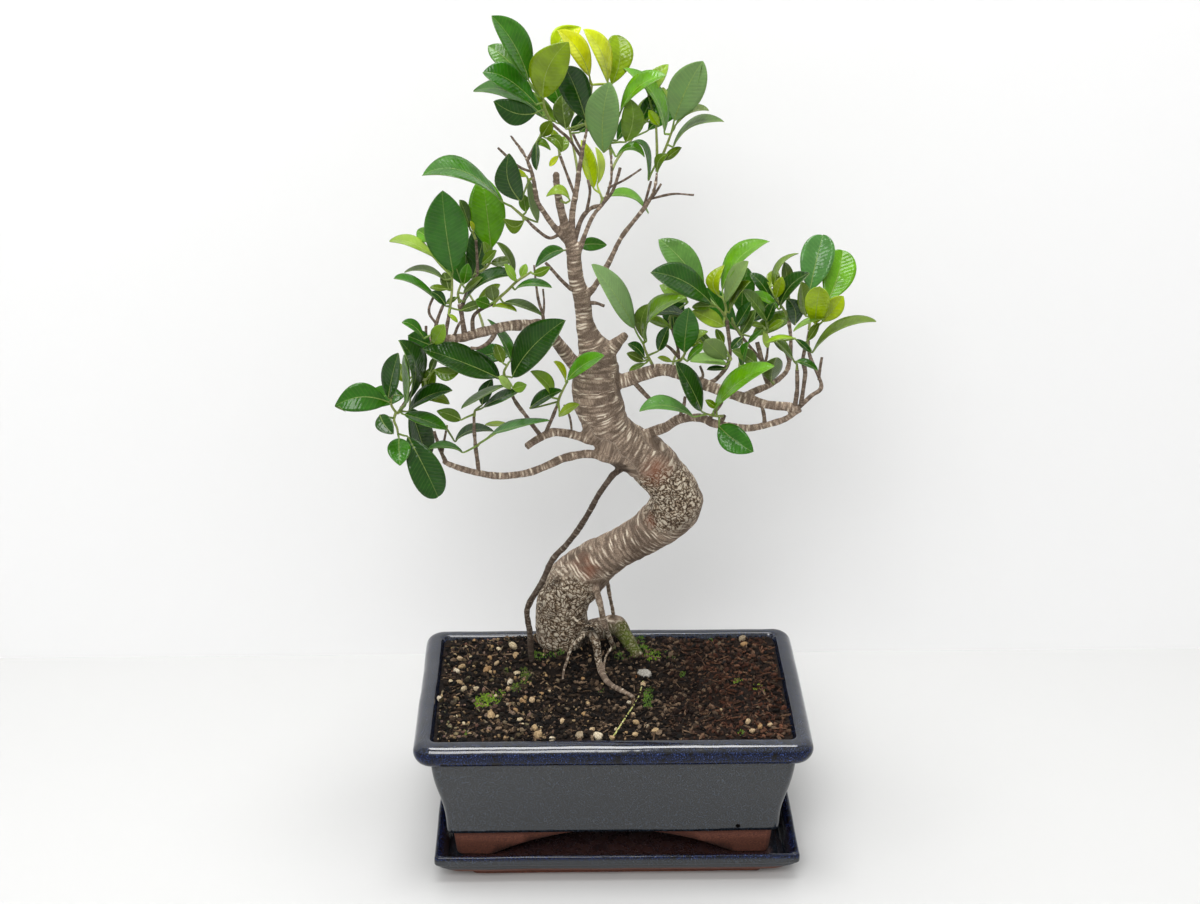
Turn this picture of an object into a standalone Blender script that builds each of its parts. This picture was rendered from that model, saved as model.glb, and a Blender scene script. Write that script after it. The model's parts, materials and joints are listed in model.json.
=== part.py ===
"""A small-leaved fig grown as an S-shaped bonsai, in a glazed rectangular pot on its saucer.

Metres, +Z up, +X right, +Y away from the viewer. The origin is on the saucer's flat underside, under the
middle of the pot.
The plant has no regular measures, so its points are sight points: a column and a row in the view from
VIEW_POINT, in pixels of a 1200 x 904 picture, and a depth in millimetres along +Y from the plane that is
VIEW_REACH in front of it. sighted() turns one into a place. Thicknesses are diameters in millimetres.
"""

import math
from collections import namedtuple

import bmesh
import bpy
from mathutils import Vector

MM = 0.001

# Pot
POT_WIDTH = 0.2555
POT_DEPTH = 0.165
POT_CORNER = 0.0125
POT_RIM_HEIGHT = 0.104
POT_BODY_BOTTOM = 0.029
POT_FLOOR = 0.040
LIP_HEIGHT = 0.0155
LIP_REACH = 0.0105
RIM_WIDTH = 0.0110
WALL_INSET_TOP = 0.0124
WALL_INSET_NECK = 0.0172
WALL_INSET_FLOOR = 0.0256
NECK_DROP = 0.0140
BODY_CORNER = 0.0045
LEAST_CORNER = 0.0025
MOUTH_CORNER = 0.0055
FOOT_INSET = 0.0248
FOOT_WALL = 0.012
ARCH_WIDTH = 0.161
SIDE_ARCH_WIDTH = 0.070
ARCH_RISE = 0.0175
DRAIN_RADIUS = 0.009
DRAIN_SPACING = 0.110
MOUTH_DROP = 0.0040

# Saucer
SAUCER_WIDTH = 0.238
SAUCER_DEPTH = 0.154
SAUCER_CORNER = 0.0028
SAUCER_OFFSET = 0.0024
SAUCER_HEIGHT = 0.0195
SAUCER_LIP = 0.0075
SAUCER_FLOOR = 0.009
SAUCER_BASE_INSET = 0.0235

# Soil and what lies on it
SOIL_EDGE = 0.1015
SOIL_LEVEL_BAND = 0.018
MOUND_RISE = 0.0115
MOUND_REACH = 0.050
SCREEN_SIZE = 0.030
SCREEN_THICKNESS = 0.001
SCREEN_MESHES = 2
SCREEN_WIRE = 0.0016
DISC_RADIUS = 0.0052
DISC_THICKNESS = 0.0014
DRY_STEM_RADIUS = 0.0005

# Joints between separate pieces, and blade thickness
GAP = 0.0003
BLADE = 0.0007
STALK_RADIUS = 0.00075
SHOOT_RADIUS = 0.00095

# The fixed viewpoint that sight points are read from
VIEW_POINT = Vector((-0.027, -1.173, 0.763))
VIEW_REACH = 1.178
VIEW_TILT = math.radians(22.7)
VIEW_TURN = math.radians(0.95)
VIEW_LENGTH = 2000.0
VIEW_MIDDLE = (600.0, 452.0)
SIGHT_MM = 0.61

Limb = namedtuple("Limb", "name points thickness")
Leaf = namedtuple("Leaf", "base tip wide tone bend lean under", defaults=(None, None, False))
Spray = namedtuple("Spray", "name seat lean shoots leaves")


def sighted(point):
    """The place of a sight point (column, row, depth in mm)."""
    column, row, depth = point
    across = (column - VIEW_MIDDLE[0]) / VIEW_LENGTH
    down = (row - VIEW_MIDDLE[1]) / VIEW_LENGTH
    level = math.cos(VIEW_TILT) - down * math.sin(VIEW_TILT)
    ray = Vector((
        math.sin(VIEW_TURN) * level + across * math.cos(VIEW_TURN),
        math.cos(VIEW_TURN) * level - across * math.sin(VIEW_TURN),
        -math.sin(VIEW_TILT) - down * math.cos(VIEW_TILT),
    ))
    return VIEW_POINT + ray * ((depth * MM + VIEW_REACH) / ray.y)


# The trunk's axis from its buried stump to the leader, as (column, row, depth, diameter)
TRUNK_AXIS = (
    (566, 690, 44, 20), (566, 664, 44, 33), (563, 640, 43, 36), (561, 612, 42, 36), (567, 592, 41, 36),
    (581, 575, 40, 35), (600, 559, 37, 31), (618, 548, 34, 27), (638, 538, 29, 27), (657, 526, 23, 30),
    (674, 508, 16, 34), (674, 490, 11, 32), (661, 472, 8, 30), (643, 456, 6, 31), (622, 443, 4, 31),
    (608, 427, 2, 29), (600, 407, 0, 31), (596, 389, 0, 30), (597, 371, 0, 28), (596, 355, 1, 24),
    (590, 340, 2, 16), (585, 323, 3, 11.5), (582, 298, 4, 10.5), (576, 278, 5, 9.6), (573, 250, 6, 9.2),
    (569, 238, 6, 7),
)

# Roots: name, sight points, first and last diameter. Their ends are in the soil.
ROOTS = (
    Limb("aerial_left", ((620, 470, 6), (612, 476, -9), (598, 496, -4), (584, 521, 6), (567, 544, 18),
                         (553, 559, 20), (542, 582, 20), (529, 604, 20), (527, 615, 19), (530, 634, 17),
                         (531, 652, 18), (532, 664, 22)), (4.2, 4.4)),
    Limb("aerial_front", ((592, 578, 36), (599, 600, 19), (604, 622, 18), (609, 636, 26), (613, 646, 34),
                          (614, 654, 40)), (5.0, 3.6)),
    Limb("aerial_back", ((606, 570, 38), (609, 592, 44), (613, 612, 50), (615, 630, 54)), (3, 3)),
    Limb("buttress_right", ((580, 636, 46), (604, 628, 52), (616, 624, 51), (624, 635, 45), (632, 647, 39),
                            (639, 658, 33)), (16, 8)),
    Limb("root_thin", ((571, 616, 26), (580, 623, 21), (590, 626, 19), (604, 623, 19)), (2.2, 2.2)),
    Limb("root_left", ((582, 630, 34), (583, 636, 15), (575, 643, 13), (570, 651, 13), (567, 661, 10),
                       (564, 670, 5), (563, 680, -2), (563, 687, -3)), (3.6, 2.0)),
    Limb("root_big", ((586, 625, 34), (595, 640, 18), (598, 655, 17), (599, 664, 12), (603, 675, 0),
                      (610, 684, -9), (622, 691, -16), (630, 695, -19), (635, 698, -19)), (6.6, 2.6)),
    Limb("root_loop", ((612, 646, 22), (606, 657, 14), (604, 668, 6), (605, 679, -4)), (2, 2)),
)

BRANCHES = (
    Limb("right_main", ((604, 384, 0), (626, 380, -1), (650, 372, -3), (672, 371, -6), (700, 383, -10),
                        (735, 395, -14), (765, 404, -16), (799, 408, -18)), (10, 5.4)),
    Limb("lower_right", ((640, 436, 6), (664, 428, 2), (680, 419, 0), (700, 418, -6), (716, 424, -12),
                         (746, 428, -16), (766, 425, -18), (785, 419, -19), (801, 409, -18)), (7, 3.6)),
    Limb("inner_right", ((742, 397, -14), (757, 390, -8), (768, 386, -2), (780, 378, 4), (788, 368, 8),
                         (791, 345, 12), (789, 320, 16)), (4.6, 2.8)),
    Limb("left_upper", ((592, 376, 0), (575, 364, -2), (559, 345, -5), (544, 327, -8), (531, 325, -10),
                        (507, 326, -14), (479, 333, -18), (459, 338, -20), (429, 341, -22), (417, 345, -22)),
         (9, 4.6)),
    Limb("left_middle", ((606, 444, 2), (590, 440, -4), (574, 435, -4), (554, 432, -6), (539, 438, -10),
                         (526, 447, -14)), (6.6, 5)),
    Limb("left_lower", ((626, 458, 4), (610, 459, -8), (589, 454, -6), (564, 458, -8), (534, 471, -12),
                        (504, 476, -18), (479, 473, -22), (454, 466, -26), (443, 461, -28)), (6.6, 3.6)),
    Limb("crown_left", ((571, 246, 6), (556, 229, 2), (545, 214, -2), (537, 200, -6), (533, 177, -10),
                        (525, 156, -12), (510, 135, -14)), (4.6, 2)),
    Limb("crown_stub", ((569, 242, 6), (562, 214, 2), (557, 190, -1), (556, 172, -3)), (6.4, 3.8)),
    Limb("crown_middle", ((573, 250, 6), (572, 218, 10), (577, 186, 12), (580, 165, 12), (583, 148, 12),
                          (587, 128, 12)), (4.8, 2.2)),
    Limb("crown_right", ((577, 262, 5), (583, 240, 4), (593, 216, 1), (604, 202, -1), (611, 180, -4),
                         (611, 155, -6)), (3.6, 2)),
    Limb("thin_right", ((584, 300, 4), (597, 283, 2), (610, 260, -2), (623, 235, -5), (645, 207, -6),
                        (654, 190, -6), (657, 172, -6)), (4.4, 2.2)),
)

TWIGS = (
    Limb("shoulder_stub", ((606, 352, 1), (618, 342, 0), (626, 334, -2)), (11, 4.4)),
    Limb("knot_spur", ((584, 304, 3), (595, 303, 1), (604, 306, -2)), (3, 2)),
    Limb("right_end_back", ((795, 407, -18), (797, 388, -20), (797, 370, -22)), (3.2, 2.2)),
    Limb("right_end_front", ((801, 404, -18), (805, 375, -24), (803, 360, -26), (805, 347, -28)), (3.2, 2.2)),
    Limb("right_end_outer", ((798, 408, -18), (811, 396, -14), (821, 388, -10), (818, 374, -8), (810, 356, 0),
                             (808, 340, 4), (809, 331, 6)), (3, 1.8)),
    Limb("outer_spur", ((819, 380, -9), (820, 368, -8), (822, 357, -6)), (2, 1.6)),
    Limb("right_riser", ((769, 387, -2), (764, 372, 0), (762, 360, 2), (757, 342, 6)), (3.4, 3)),
    Limb("riser_left", ((763, 362, 2), (751, 348, 0), (740, 334, -3), (733, 323, -4)), (2, 1.6)),
    Limb("riser_right", ((764, 366, 1), (767, 356, 4), (768, 345, 7)), (2, 1.6)),
    Limb("inner_spur", ((789, 362, 9), (786, 351, 12), (780, 341, 16)), (2.2, 1.8)),
    Limb("ringed_twig", ((704, 385, -10), (716, 379, -8), (727, 366, -6), (730, 350, -4), (727, 320, 0)), (3, 2.4)),
    Limb("short_twig", ((697, 382, -10), (703, 376, -10), (700, 366, -10)), (2, 1.6)),
    Limb("slim_twig", ((677, 374, -7), (679, 359, -4), (677, 345, -2), (669, 321, 2)), (2.2, 1.6)),
    Limb("slim_side", ((679, 358, -4), (670, 348, -6), (658, 341, -8)), (1.8, 1.6)),
    Limb("near_twig", ((655, 373, -4), (652, 364, -6)), (2.4, 2)),
    Limb("hanging_limb", ((632, 380, -1), (645, 394, -6), (655, 405, -10)), (3.4, 2)),
    Limb("link_twig", ((765, 427, -18), (764, 415, -17), (761, 403, -16)), (2.6, 2.2)),
    Limb("lower_spur", ((718, 425, -12), (722, 420, -15), (724, 416, -17)), (3.2, 2.6)),
    Limb("lower_twig", ((708, 420, -9), (716, 411, -12), (722, 402, -13)), (2.6, 2)),
    Limb("lower_snag", ((679, 419, 0), (684, 405, -3), (685, 397, -4)), (2.4, 1.8)),
    Limb("left_under", ((497, 329, -16), (490, 341, -20), (479, 348, -24), (471, 348, -26)), (2.8, 2)),
    Limb("left_end", ((419, 345, -22), (425, 358, -20), (422, 373, -20), (416, 386, -20), (401, 409, -22)),
         (3.2, 2.4)),
    Limb("upright_one", ((427, 342, -22), (426, 333, -20), (426, 326, -18)), (2, 1.6)),
    Limb("upright_two", ((436, 340, -22), (436, 326, -18), (441, 310, -14), (444, 304, -12)), (2.4, 2)),
    Limb("upright_pale", ((437, 325, -18), (429, 312, -16), (433, 298, -12), (441, 287, -8)), (1.8, 1.5)),
    Limb("upright_three", ((445, 339, -21), (447, 326, -19), (449, 314, -17)), (2.6, 2.2)),
    Limb("upright_four", ((454, 337, -20), (458, 326, -24), (463, 319, -26)), (2, 1.6)),
    Limb("upright_five", ((465, 336, -20), (462, 316, -12), (460, 304, -10)), (3.4, 2.8)),
    Limb("upright_six", ((473, 334, -19), (473, 318, -16), (480, 310, -15), (493, 304, -16)), (2.6, 2)),
    Limb("left_riser", ((461, 309, -10), (468, 290, -4), (477, 275, 2), (477, 256, 6), (476, 240, 8)), (2.4, 1.5)),
    Limb("bare_twig", ((542, 326, -8), (543, 316, -7), (538, 298, 0), (534, 265, 8)), (2.2, 1.3)),
    Limb("bare_side", ((543, 317, -7), (544, 303, -5), (543, 289, -3)), (1.6, 1.2)),
    Limb("middle_twig", ((540, 435, -9), (526, 416, -14), (514, 399, -18), (506, 380, -20)), (3, 1.9)),
    Limb("middle_inner", ((546, 432, -9), (553, 416, -14), (557, 406, -16)), (2.6, 2)),
    Limb("middle_dead", ((572, 434, -4), (570, 418, -8), (564, 405, -10)), (1.5, 1.2)),
    Limb("lower_end_one", ((446, 463, -27), (440, 449, -24), (434, 431, -20)), (2.6, 2)),
    Limb("lower_end_two", ((442, 453, -25), (444, 442, -22), (446, 431, -18)), (2, 1.6)),
    Limb("lower_up", ((479, 473, -22), (475, 442, -20), (474, 417, -18)), (2.8, 1.9)),
    Limb("crown_fork", ((527, 161, -11), (535, 146, -6), (540, 138, -3)), (2.2, 1.6)),
    Limb("crown_dead", ((532, 172, -10), (518, 166, -13), (498, 148, -18)), (1.8, 1.3)),
    Limb("crown_low", ((560, 234, 3), (549, 238, -1), (535, 228, -6), (527, 220, -8)), (2.2, 1.7)),
    Limb("crown_side", ((580, 155, 12), (569, 139, 8), (560, 131, 4), (551, 123, 0)), (2.1, 1.6)),
    Limb("crown_short", ((582, 152, 12), (577, 142, 14), (573, 134, 14)), (1.8, 1.5)),
    Limb("crown_back", ((575, 196, 12), (566, 172, 17), (560, 156, 20)), (2, 1.6)),
    Limb("crown_limb", ((574, 243, 7), (581, 220, 12), (590, 209, 14), (601, 205, 16)), (3.2, 2.2)),
    Limb("crown_snag", ((586, 214, 13), (590, 193, 11), (588, 180, 10)), (2.2, 1.6)),
    Limb("right_fork", ((603, 204, -1), (612, 192, -6), (617, 179, -10), (620, 168, -12)), (2.2, 1.8)),
    Limb("right_whisker", ((608, 188, -3), (626, 179, -9), (641, 169, -14)), (1.5, 1.2)),
    Limb("far_whisker", ((650, 199, -6), (672, 194, -10), (694, 195, -12)), (1.6, 1.2)),
    Limb("far_fork", ((650, 200, -6), (656, 192, -8), (661, 184, -10)), (1.8, 1.5)),
    Limb("near_fork", ((643, 209, -6), (648, 192, -2), (651, 181, 0)), (1.8, 1.5)),
    Limb("leader_snag", ((576, 291, 4), (566, 285, 0), (546, 263, -6)), (3, 2)),
)

# Leafy stems: how far the shoot starts from the limb's axis in mm (0 on a twig's end), whether its leaves
# lean away from the viewer (+1) or towards (-1), its shoots, and its leaves. A leaf runs from base to tip,
# wide is its breadth in the view, and bend is a point half way along it.
SPRAYS = (
    Spray("spray_crown_left", 0, -1, (((551, 123, 0), (545, 109, -4), (543, 99, -6)),), (
        Leaf((529, 80), (492, 16), 26, "mid", (514, 44)),
        Leaf((522, 76), (488, 46), 20, "matte", (504, 57), 1),
        Leaf((536, 104), (483, 72), 24, "mid", (508, 79)),
        Leaf((543, 116), (473, 91), 20, "mid", (508, 91), 1),
        Leaf((536, 113), (494, 101), 24, "dark", (515, 113)),
        Leaf((543, 98), (568, 42), 36, "matte", (548, 68)),
    )),
    Spray("spray_crown_top", 0, 1, (((587, 128, 12), (586, 118, 12), (590, 100, 14), (592, 84, 16)),), (
        Leaf((556, 60), (581, 27), 22, "yellow", (562, 38), 1),
        Leaf((590, 76), (558, 30), 19, "fresh", (578, 50), -1),
        Leaf((608, 83), (584, 29), 17, "bright", (602, 53), -1),
        Leaf((612, 84), (617, 35), 26, "lime", (620, 58), 1),
        Leaf((586, 120), (565, 67), 30, "dark", (576, 90), -1),
        Leaf((566, 129), (562, 95), 20, "grey", (563, 111)),
        Leaf((571, 131), (590, 112), 14, "dark"),
    )),
    Spray("spray_crown_centre", 0, -1, (((611, 155, -6), (610, 138, -8), (616, 120, -10)),), (
        Leaf((603, 152), (610, 82), 33, "mid", (603, 115)),
        Leaf((626, 142), (630, 99), 22, "olive", (633, 120)),
        Leaf((617, 140), (629, 112), 11, "mid", (625, 125), 1),
        Leaf((620, 112), (666, 75), 14, "fresh", (639, 86)),
        Leaf((616, 156), (645, 157), 8, "fresh", (632, 147)),
    )),
    Spray("spray_crown_heart", 0.5, 1, (((601, 205, 16), (602, 199, 17), (600, 193, 18)),), (
        Leaf((594, 188), (582, 140), 15, "yellow", (588, 165)),
        Leaf((598, 184), (596, 147), 7, "yellow", (600, 165), 1),
        Leaf((608, 196), (649, 213), 8, "yellow", (630, 196), 1),
    )),
    Spray("spray_crown_right", 0, -1, (((657, 172, -6), (657, 150, -6), (656, 122, -5)),
                                       ((657, 168, -6), (666, 147, -10), (672, 131, -14))), (
        Leaf((648, 95), (668, 64), 16, "pale", (655, 80), 1),
        Leaf((665, 133), (624, 68), 13, "olive", (654, 95), 1),
        Leaf((674, 121), (703, 61), 34, "mid", (687, 88)),
        Leaf((675, 125), (709, 110), 6, "grey", (692, 111)),
        Leaf((673, 146), (724, 121), 8, "grey", (694, 124)),
        Leaf((641, 120), (655, 93), 14, "mid", (648, 107), 1),
        Leaf((649, 180), (633, 141), 5, "mid", (645, 150), 1),
    )),
    Spray("spray_crown_inner", 0, -1, (((540, 138, -3), (542, 131, -3)),), (
        Leaf((542, 136), (551, 121), 13, "olive"),
        Leaf((536, 142), (536, 170), 8, "dark", None, -2.5),
        Leaf((546, 138), (562, 152), 11, "olive", (557, 140)),
    )),
    Spray("spray_crown_back", 0, 1, (((560, 156, 20), (559, 151, 21)),), (
        Leaf((559, 148), (552, 129), 8, "lime"),
        Leaf((560, 152), (566, 136), 12, "pale"),
    )),
    Spray("spray_crown_side", 2.1, -1, (((560, 200, 0), (563, 202, -7), (566, 203, -10)),), (
        Leaf((570, 200), (546, 196), 9, "pale", (560, 190)),
    )),
    Spray("spray_left_limb", 1.8, -1, (((533, 178, -10), (529, 180, -14)),), (
        Leaf((521, 201), (509, 154), 26, "dark", (508, 180)),
    )),
    Spray("spray_upper_left", 0, -1, (((527, 220, -8), (518, 212, -10), (511, 206, -12)),), (
        Leaf((501, 200), (422, 175), 19, "mid", (461, 170)),
        Leaf((524, 221), (504, 219), 13, "olive", (514, 227)),
        Leaf((526, 212), (523, 194), 11, "olive", None, 1),
        Leaf((538, 222), (528, 178), 9, "grey", (532, 204), 1),
    )),
    Spray("spray_left_high", 0, -1, (((449, 314, -17), (451, 300, -16), (452, 289, -14), (452, 276, -13)),), (
        Leaf((453, 272), (442, 191), 43, "mid", (446, 230)),
        Leaf((432, 240), (417, 230), 15, "fresh", None, 1),
        Leaf((434, 257), (389, 241), 11, "pale", (410, 242), 1),
        Leaf((444, 279), (404, 272), 6, "grey", (424, 270), 1),
        Leaf((440, 302), (394, 278), 6, "mid", (415, 284)),
        Leaf((446, 306), (431, 292), 10, "dark", (439, 296)),
        Leaf((449, 290), (444, 272), 12, "grey", None, 1),
    )),
    Spray("spray_left_mast", 0, -1, (((460, 304, -10), (458, 294, -8), (461, 284, -6)),), (
        Leaf((464, 284), (468, 264), 12, "fresh"),
        Leaf((464, 301), (516, 275), 11, "dark", (487, 279), -1),
    )),
    Spray("spray_left_twig", 0, -1, (((476, 240, 8), (473, 233, 9)),), (
        Leaf((470, 228), (460, 200), 9, "grey", (465, 212)),
    )),
    Spray("spray_left_fan", 1.8, 1, (((477, 273, 2), (483, 270, 5), (489, 264, 8), (491, 256, 9)),), (
        Leaf((491, 249), (482, 176), 37, "bright", (487, 212)),
        Leaf((491, 263), (514, 258), 10, "grey", (501, 262)),
    )),
    Spray("spray_left_olive", 0, -1, (((493, 304, -16), (500, 297, -17), (508, 290, -18), (516, 282, -19),
                                       (525, 276, -20), (531, 272, -21)),), (
        Leaf((515, 289), (552, 287), 7, "mid", (531, 283)),
        Leaf((504, 302), (542, 315), 8, "grey", (523, 306)),
        Leaf((494, 301), (491, 286), 14, "olive", None, 1),
        Leaf((490, 305), (476, 300), 12, "fresh"),
        Leaf((514, 275), (497, 242), 7, "grey", (508, 257), 1),
    )),
    Spray("spray_leader_back", 4.6, 1, (((573, 252, 6), (571, 249, 20), (572, 246, 25)),), (
        Leaf((564, 250), (535, 267), 12, "mid", (549, 254)),
        Leaf((580, 246), (607, 245), 14, "mid", (591, 244)),
    )),
    Spray("spray_left_branch", 2.8, -1, (((434, 341, -22), (433, 336, -28), (431, 335, -31)),), (
        Leaf((430, 345), (408, 336), 21, "matte", None, -0.1),
        Leaf((433, 344), (444, 325), 16, "pale"),
        Leaf((424, 338), (402, 322), 9, "mid", (414, 326)),
    )),
    Spray("spray_left_hang", 1.5, -1, (((420, 378, -20), (425, 380, -24), (428, 378, -27)),), (
        Leaf((425, 395), (433, 366), 14, "olive", None, 1),
        Leaf((434, 370), (459, 372), 14, "olive", (446, 374)),
        Leaf((430, 400), (450, 404), 10, "pale", (440, 398), 1),
    )),
    Spray("spray_left_end", 0.7, -1, (((401, 409, -22), (397, 413, -25), (391, 404, -28), (393, 392, -29)),
                                    ((396, 412, -26), (394, 420, -29), (397, 428, -31), (398, 434, -31))), (
        Leaf((404, 406), (399, 340), 16, "olive", (416, 370), -1.6),
        Leaf((405, 405), (404, 355), 7, "fresh", (409, 375), -1.5),
        Leaf((388, 398), (398, 353), 19, "dark", (392, 376)),
        Leaf((388, 402), (335, 406), 29, "mid", (361, 397)),
        Leaf((380, 415), (393, 434), 17, "olive", (384, 424)),
        Leaf((399, 438), (400, 465), 23, "matte", (399, 450)),
        Leaf((408, 437), (438, 497), 33, "dark", (424, 467)),
        Leaf((408, 411), (452, 390), 15, "dark", (427, 396), -1.2),
        Leaf((404, 414), (447, 429), 14, "mid", (425, 420), -1.3),
    )),
    Spray("spray_left_middle", 0, -1, (((506, 380, -20), (504, 372, -22), (508, 364, -24)),), (
        Leaf((497, 377), (423, 349), 28, "dark", (460, 361)),
        Leaf((500, 379), (468, 350), 14, "dark", None, 1),
        Leaf((512, 377), (565, 320), 33, "dark", (532, 347)),
        Leaf((511, 360), (488, 319), 10, "mid", (503, 340), 2.5),
        Leaf((503, 363), (496, 344), 12, "olive", None, 1),
        Leaf((513, 389), (526, 385), 11, "pale"),
        Leaf((505, 385), (461, 408), 7, "grey", (483, 395)),
    )),
    Spray("spray_left_up", 0, -1, (((474, 417, -18), (475, 410, -18)),), (
        Leaf((482, 405), (492, 379), 14, "dark", (485, 392), 1),
        Leaf((483, 407), (519, 391), 10, "dark", (500, 398)),
        Leaf((461, 420), (437, 411), 13, "olive", (451, 415)),
    )),
    Spray("spray_left_low", 1.8, -1, (((476, 447, -20), (480, 443, -24)),), (
        Leaf((491, 434), (549, 420), 9, "mid", (514, 427)),
        Leaf((463, 452), (428, 449), 7, "mid", (446, 446)),
    )),
    Spray("spray_left_low_end", 0, 1, (((446, 431, -18), (447, 425, -17)),), (
        Leaf((455, 441), (494, 431), 9, "dark", (472, 430)),
    )),
    Spray("spray_left_inner", 0, -1, (((557, 406, -16), (560, 396, -18), (567, 382, -20)),), (
        Leaf((552, 397), (531, 371), 12, "pale", (547, 383)),
        Leaf((530, 408), (562, 390), 12, "dark", (543, 398)),
        Leaf((567, 380), (604, 355), 15, "fresh", (583, 365)),
    )),
    Spray("spray_right_near", 0, -1, (((652, 364, -6), (646, 352, -9), (643, 343, -11)),), (
        Leaf((635, 328), (592, 264), 22, "matte", (617, 297)),
        Leaf((644, 340), (648, 304), 12, "grey", (641, 322)),
        Leaf((646, 340), (686, 297), 13, "olive", (653, 312), -1.6),
        Leaf((658, 351), (668, 327), 12, "dark"),
    )),
    Spray("spray_right_slim", 0, 1, (((669, 321, 2), (671, 314, 3)),), (
        Leaf((690, 318), (645, 316), 11, "dark", (668, 311), -1),
        Leaf((688, 302), (660, 285), 14, "pale"),
    )),
    Spray("spray_right_centre", 1.6, -1, (((679, 362, -4), (683, 357, -8), (685, 353, -10)),), (
        Leaf((684, 352), (689, 308), 26, "mid", (686, 330)),
        Leaf((685, 353), (708, 331), 12, "lime", (692, 338), 1),
    )),
    Spray("spray_right_ringed", 1.7, -1, (((729, 356, -5), (731, 359, -12), (729, 362, -15)),), (
        Leaf((726, 359), (705, 340), 20, "olive", (715, 349), None, True),
        Leaf((727, 364), (690, 361), 11, "bright", (708, 360)),
    )),
    Spray("spray_right_top", 0.4, -1, (((727, 320, 0), (722, 312, -3), (716, 306, -5)),
                                     ((725, 316, -2), (726, 308, -1), (723, 298, 0))), (
        Leaf((711, 303), (651, 272), 28, "dark", (684, 281)),
        Leaf((704, 291), (659, 239), 28, "matte", (682, 260), 1),
        Leaf((724, 326), (692, 311), 16, "pale", (709, 318)),
        Leaf((719, 296), (724, 265), 14, "lime", (713, 281), 1),
        Leaf((722, 290), (769, 241), 17, "bright", (740, 257), 1),
        Leaf((725, 302), (748, 261), 15, "olive", (736, 280)),
        Leaf((729, 312), (750, 281), 9, "olive", (738, 293)),
    )),
    Spray("spray_right_riser", 0, -1, (((733, 323, -4), (732, 318, -6)),), (
        Leaf((736, 327), (751, 302), 12, "dark"),
        Leaf((741, 334), (755, 310), 12, "grey", (748, 322)),
    )),
    Spray("spray_right_high", 0, 1, (((789, 320, 16), (784, 310, 17), (777, 300, 18)),
                                     ((787, 316, 16), (789, 306, 17), (789, 296, 18))), (
        Leaf((772, 301), (750, 273), 13, "dark", (762, 284)),
        Leaf((770, 287), (776, 270), 14, "pale"),
        Leaf((779, 309), (750, 294), 9, "fresh", (766, 299), -1),
        Leaf((774, 290), (798, 253), 6, "olive", (780, 266)),
        Leaf((776, 298), (782, 277), 12, "lime", None, -1),
        Leaf((789, 290), (785, 262), 12, "grey"),
        Leaf((780, 306), (809, 273), 15, "dark", (790, 286), -1),
        Leaf((795, 325), (787, 299), 18, "dark", (795, 310), -1),
    )),
    Spray("spray_right_mid", 0, -1, (((768, 345, 7), (767, 338, 6), (767, 330, 4)),), (
        Leaf((768, 322), (743, 290), 12, "grey", (756, 304)),
        Leaf((766, 322), (774, 303), 10, "dark"),
        Leaf((795, 338), (766, 343), 5, "lime", (780, 338), -1.5),
    )),
    Spray("spray_right_under", 1.7, -1, (((764, 372, 0), (760, 371, -5), (757, 369, -9)),), (
        Leaf((757, 366), (732, 350), 14, "grey", (748, 357)),
    )),
    Spray("spray_right_stub", 2.6, -1, (((774, 382, 1), (773, 384, -7)),), (
        Leaf((771, 381), (776, 357), 21, "grey", (772, 370), None, True),
    )),
    Spray("spray_right_inner", 0.4, 1, (((780, 341, 16), (778, 337, 20)),), (
        Leaf((786, 352), (772, 336), 8, "grey", None, 0.5),
    )),
    Spray("spray_right_back_end", 0, 1, (((809, 331, 6), (810, 322, 8), (813, 312, 10)),), (
        Leaf((806, 316), (802, 282), 14, "olive", (803, 298), -1),
        Leaf((810, 290), (823, 235), 34, "matte", (816, 262)),
        Leaf((828, 300), (843, 250), 34, "bright", (838, 276)),
    )),
    Spray("spray_right_front_end", 0, -1, (((805, 347, -28), (809, 338, -30), (814, 328, -31)),), (
        Leaf((815, 324), (820, 287), 24, "lime", (817, 304)),
        Leaf((822, 322), (843, 296), 18, "lime", (834, 308)),
        Leaf((824, 319), (793, 331), 5, "pale", (810, 321)),
        Leaf((812, 352), (876, 321), 9, "olive", (840, 328)),
    )),
    Spray("spray_right_end_low", 0, -1, (((797, 370, -22), (797, 364, -23)),), (
        Leaf((793, 358), (777, 341), 8, "grey", None, -2),
    )),
    Spray("spray_right_low", 1.0, -1, (((724, 416, -17), (716, 416, -22), (706, 414, -25)),), (
        Leaf((713, 411), (774, 366), 18, "bright", (739, 382)),
        Leaf((702, 411), (676, 362), 20, "dark", (691, 387)),
        Leaf((693, 416), (639, 411), 14, "matte", (665, 405)),
        Leaf((719, 426), (753, 452), 27, "mid", (733, 439)),
    )),
    Spray("spray_back_left", 2.9, 1, (((484, 332, -17), (482, 322, 2), (476, 306, 18), (468, 292, 26)),), (
        Leaf((462, 284), (446, 232), 28, "mid", (452, 255)),
        Leaf((472, 280), (484, 222), 26, "dark", (481, 248)),
        Leaf((478, 300), (500, 284), 9, "olive"),
    )),
    Spray("spray_back_left_middle", 3.25, 1, (((531, 326, -10), (530, 334, 8), (520, 348, 22)),), (
        Leaf((512, 354), (470, 360), 20, "mid", (490, 354)),
        Leaf((528, 352), (552, 330), 24, "dark"),
    )),
    Spray("spray_back_left_end", 2.8, 1, (((431, 341, -22), (426, 352, -2), (414, 376, 14)),), (
        Leaf((404, 396), (362, 404), 22, "mid", (384, 396)),
        Leaf((410, 408), (428, 462), 26, "dark", (420, 436)),
        Leaf((404, 382), (396, 362), 14, "olive"),
    )),
    Spray("spray_back_right", 3.2, 1, (((735, 395, -14), (738, 378, 8), (742, 344, 28), (744, 324, 34)),), (
        Leaf((742, 314), (748, 268), 24, "mid", (743, 290)),
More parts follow.
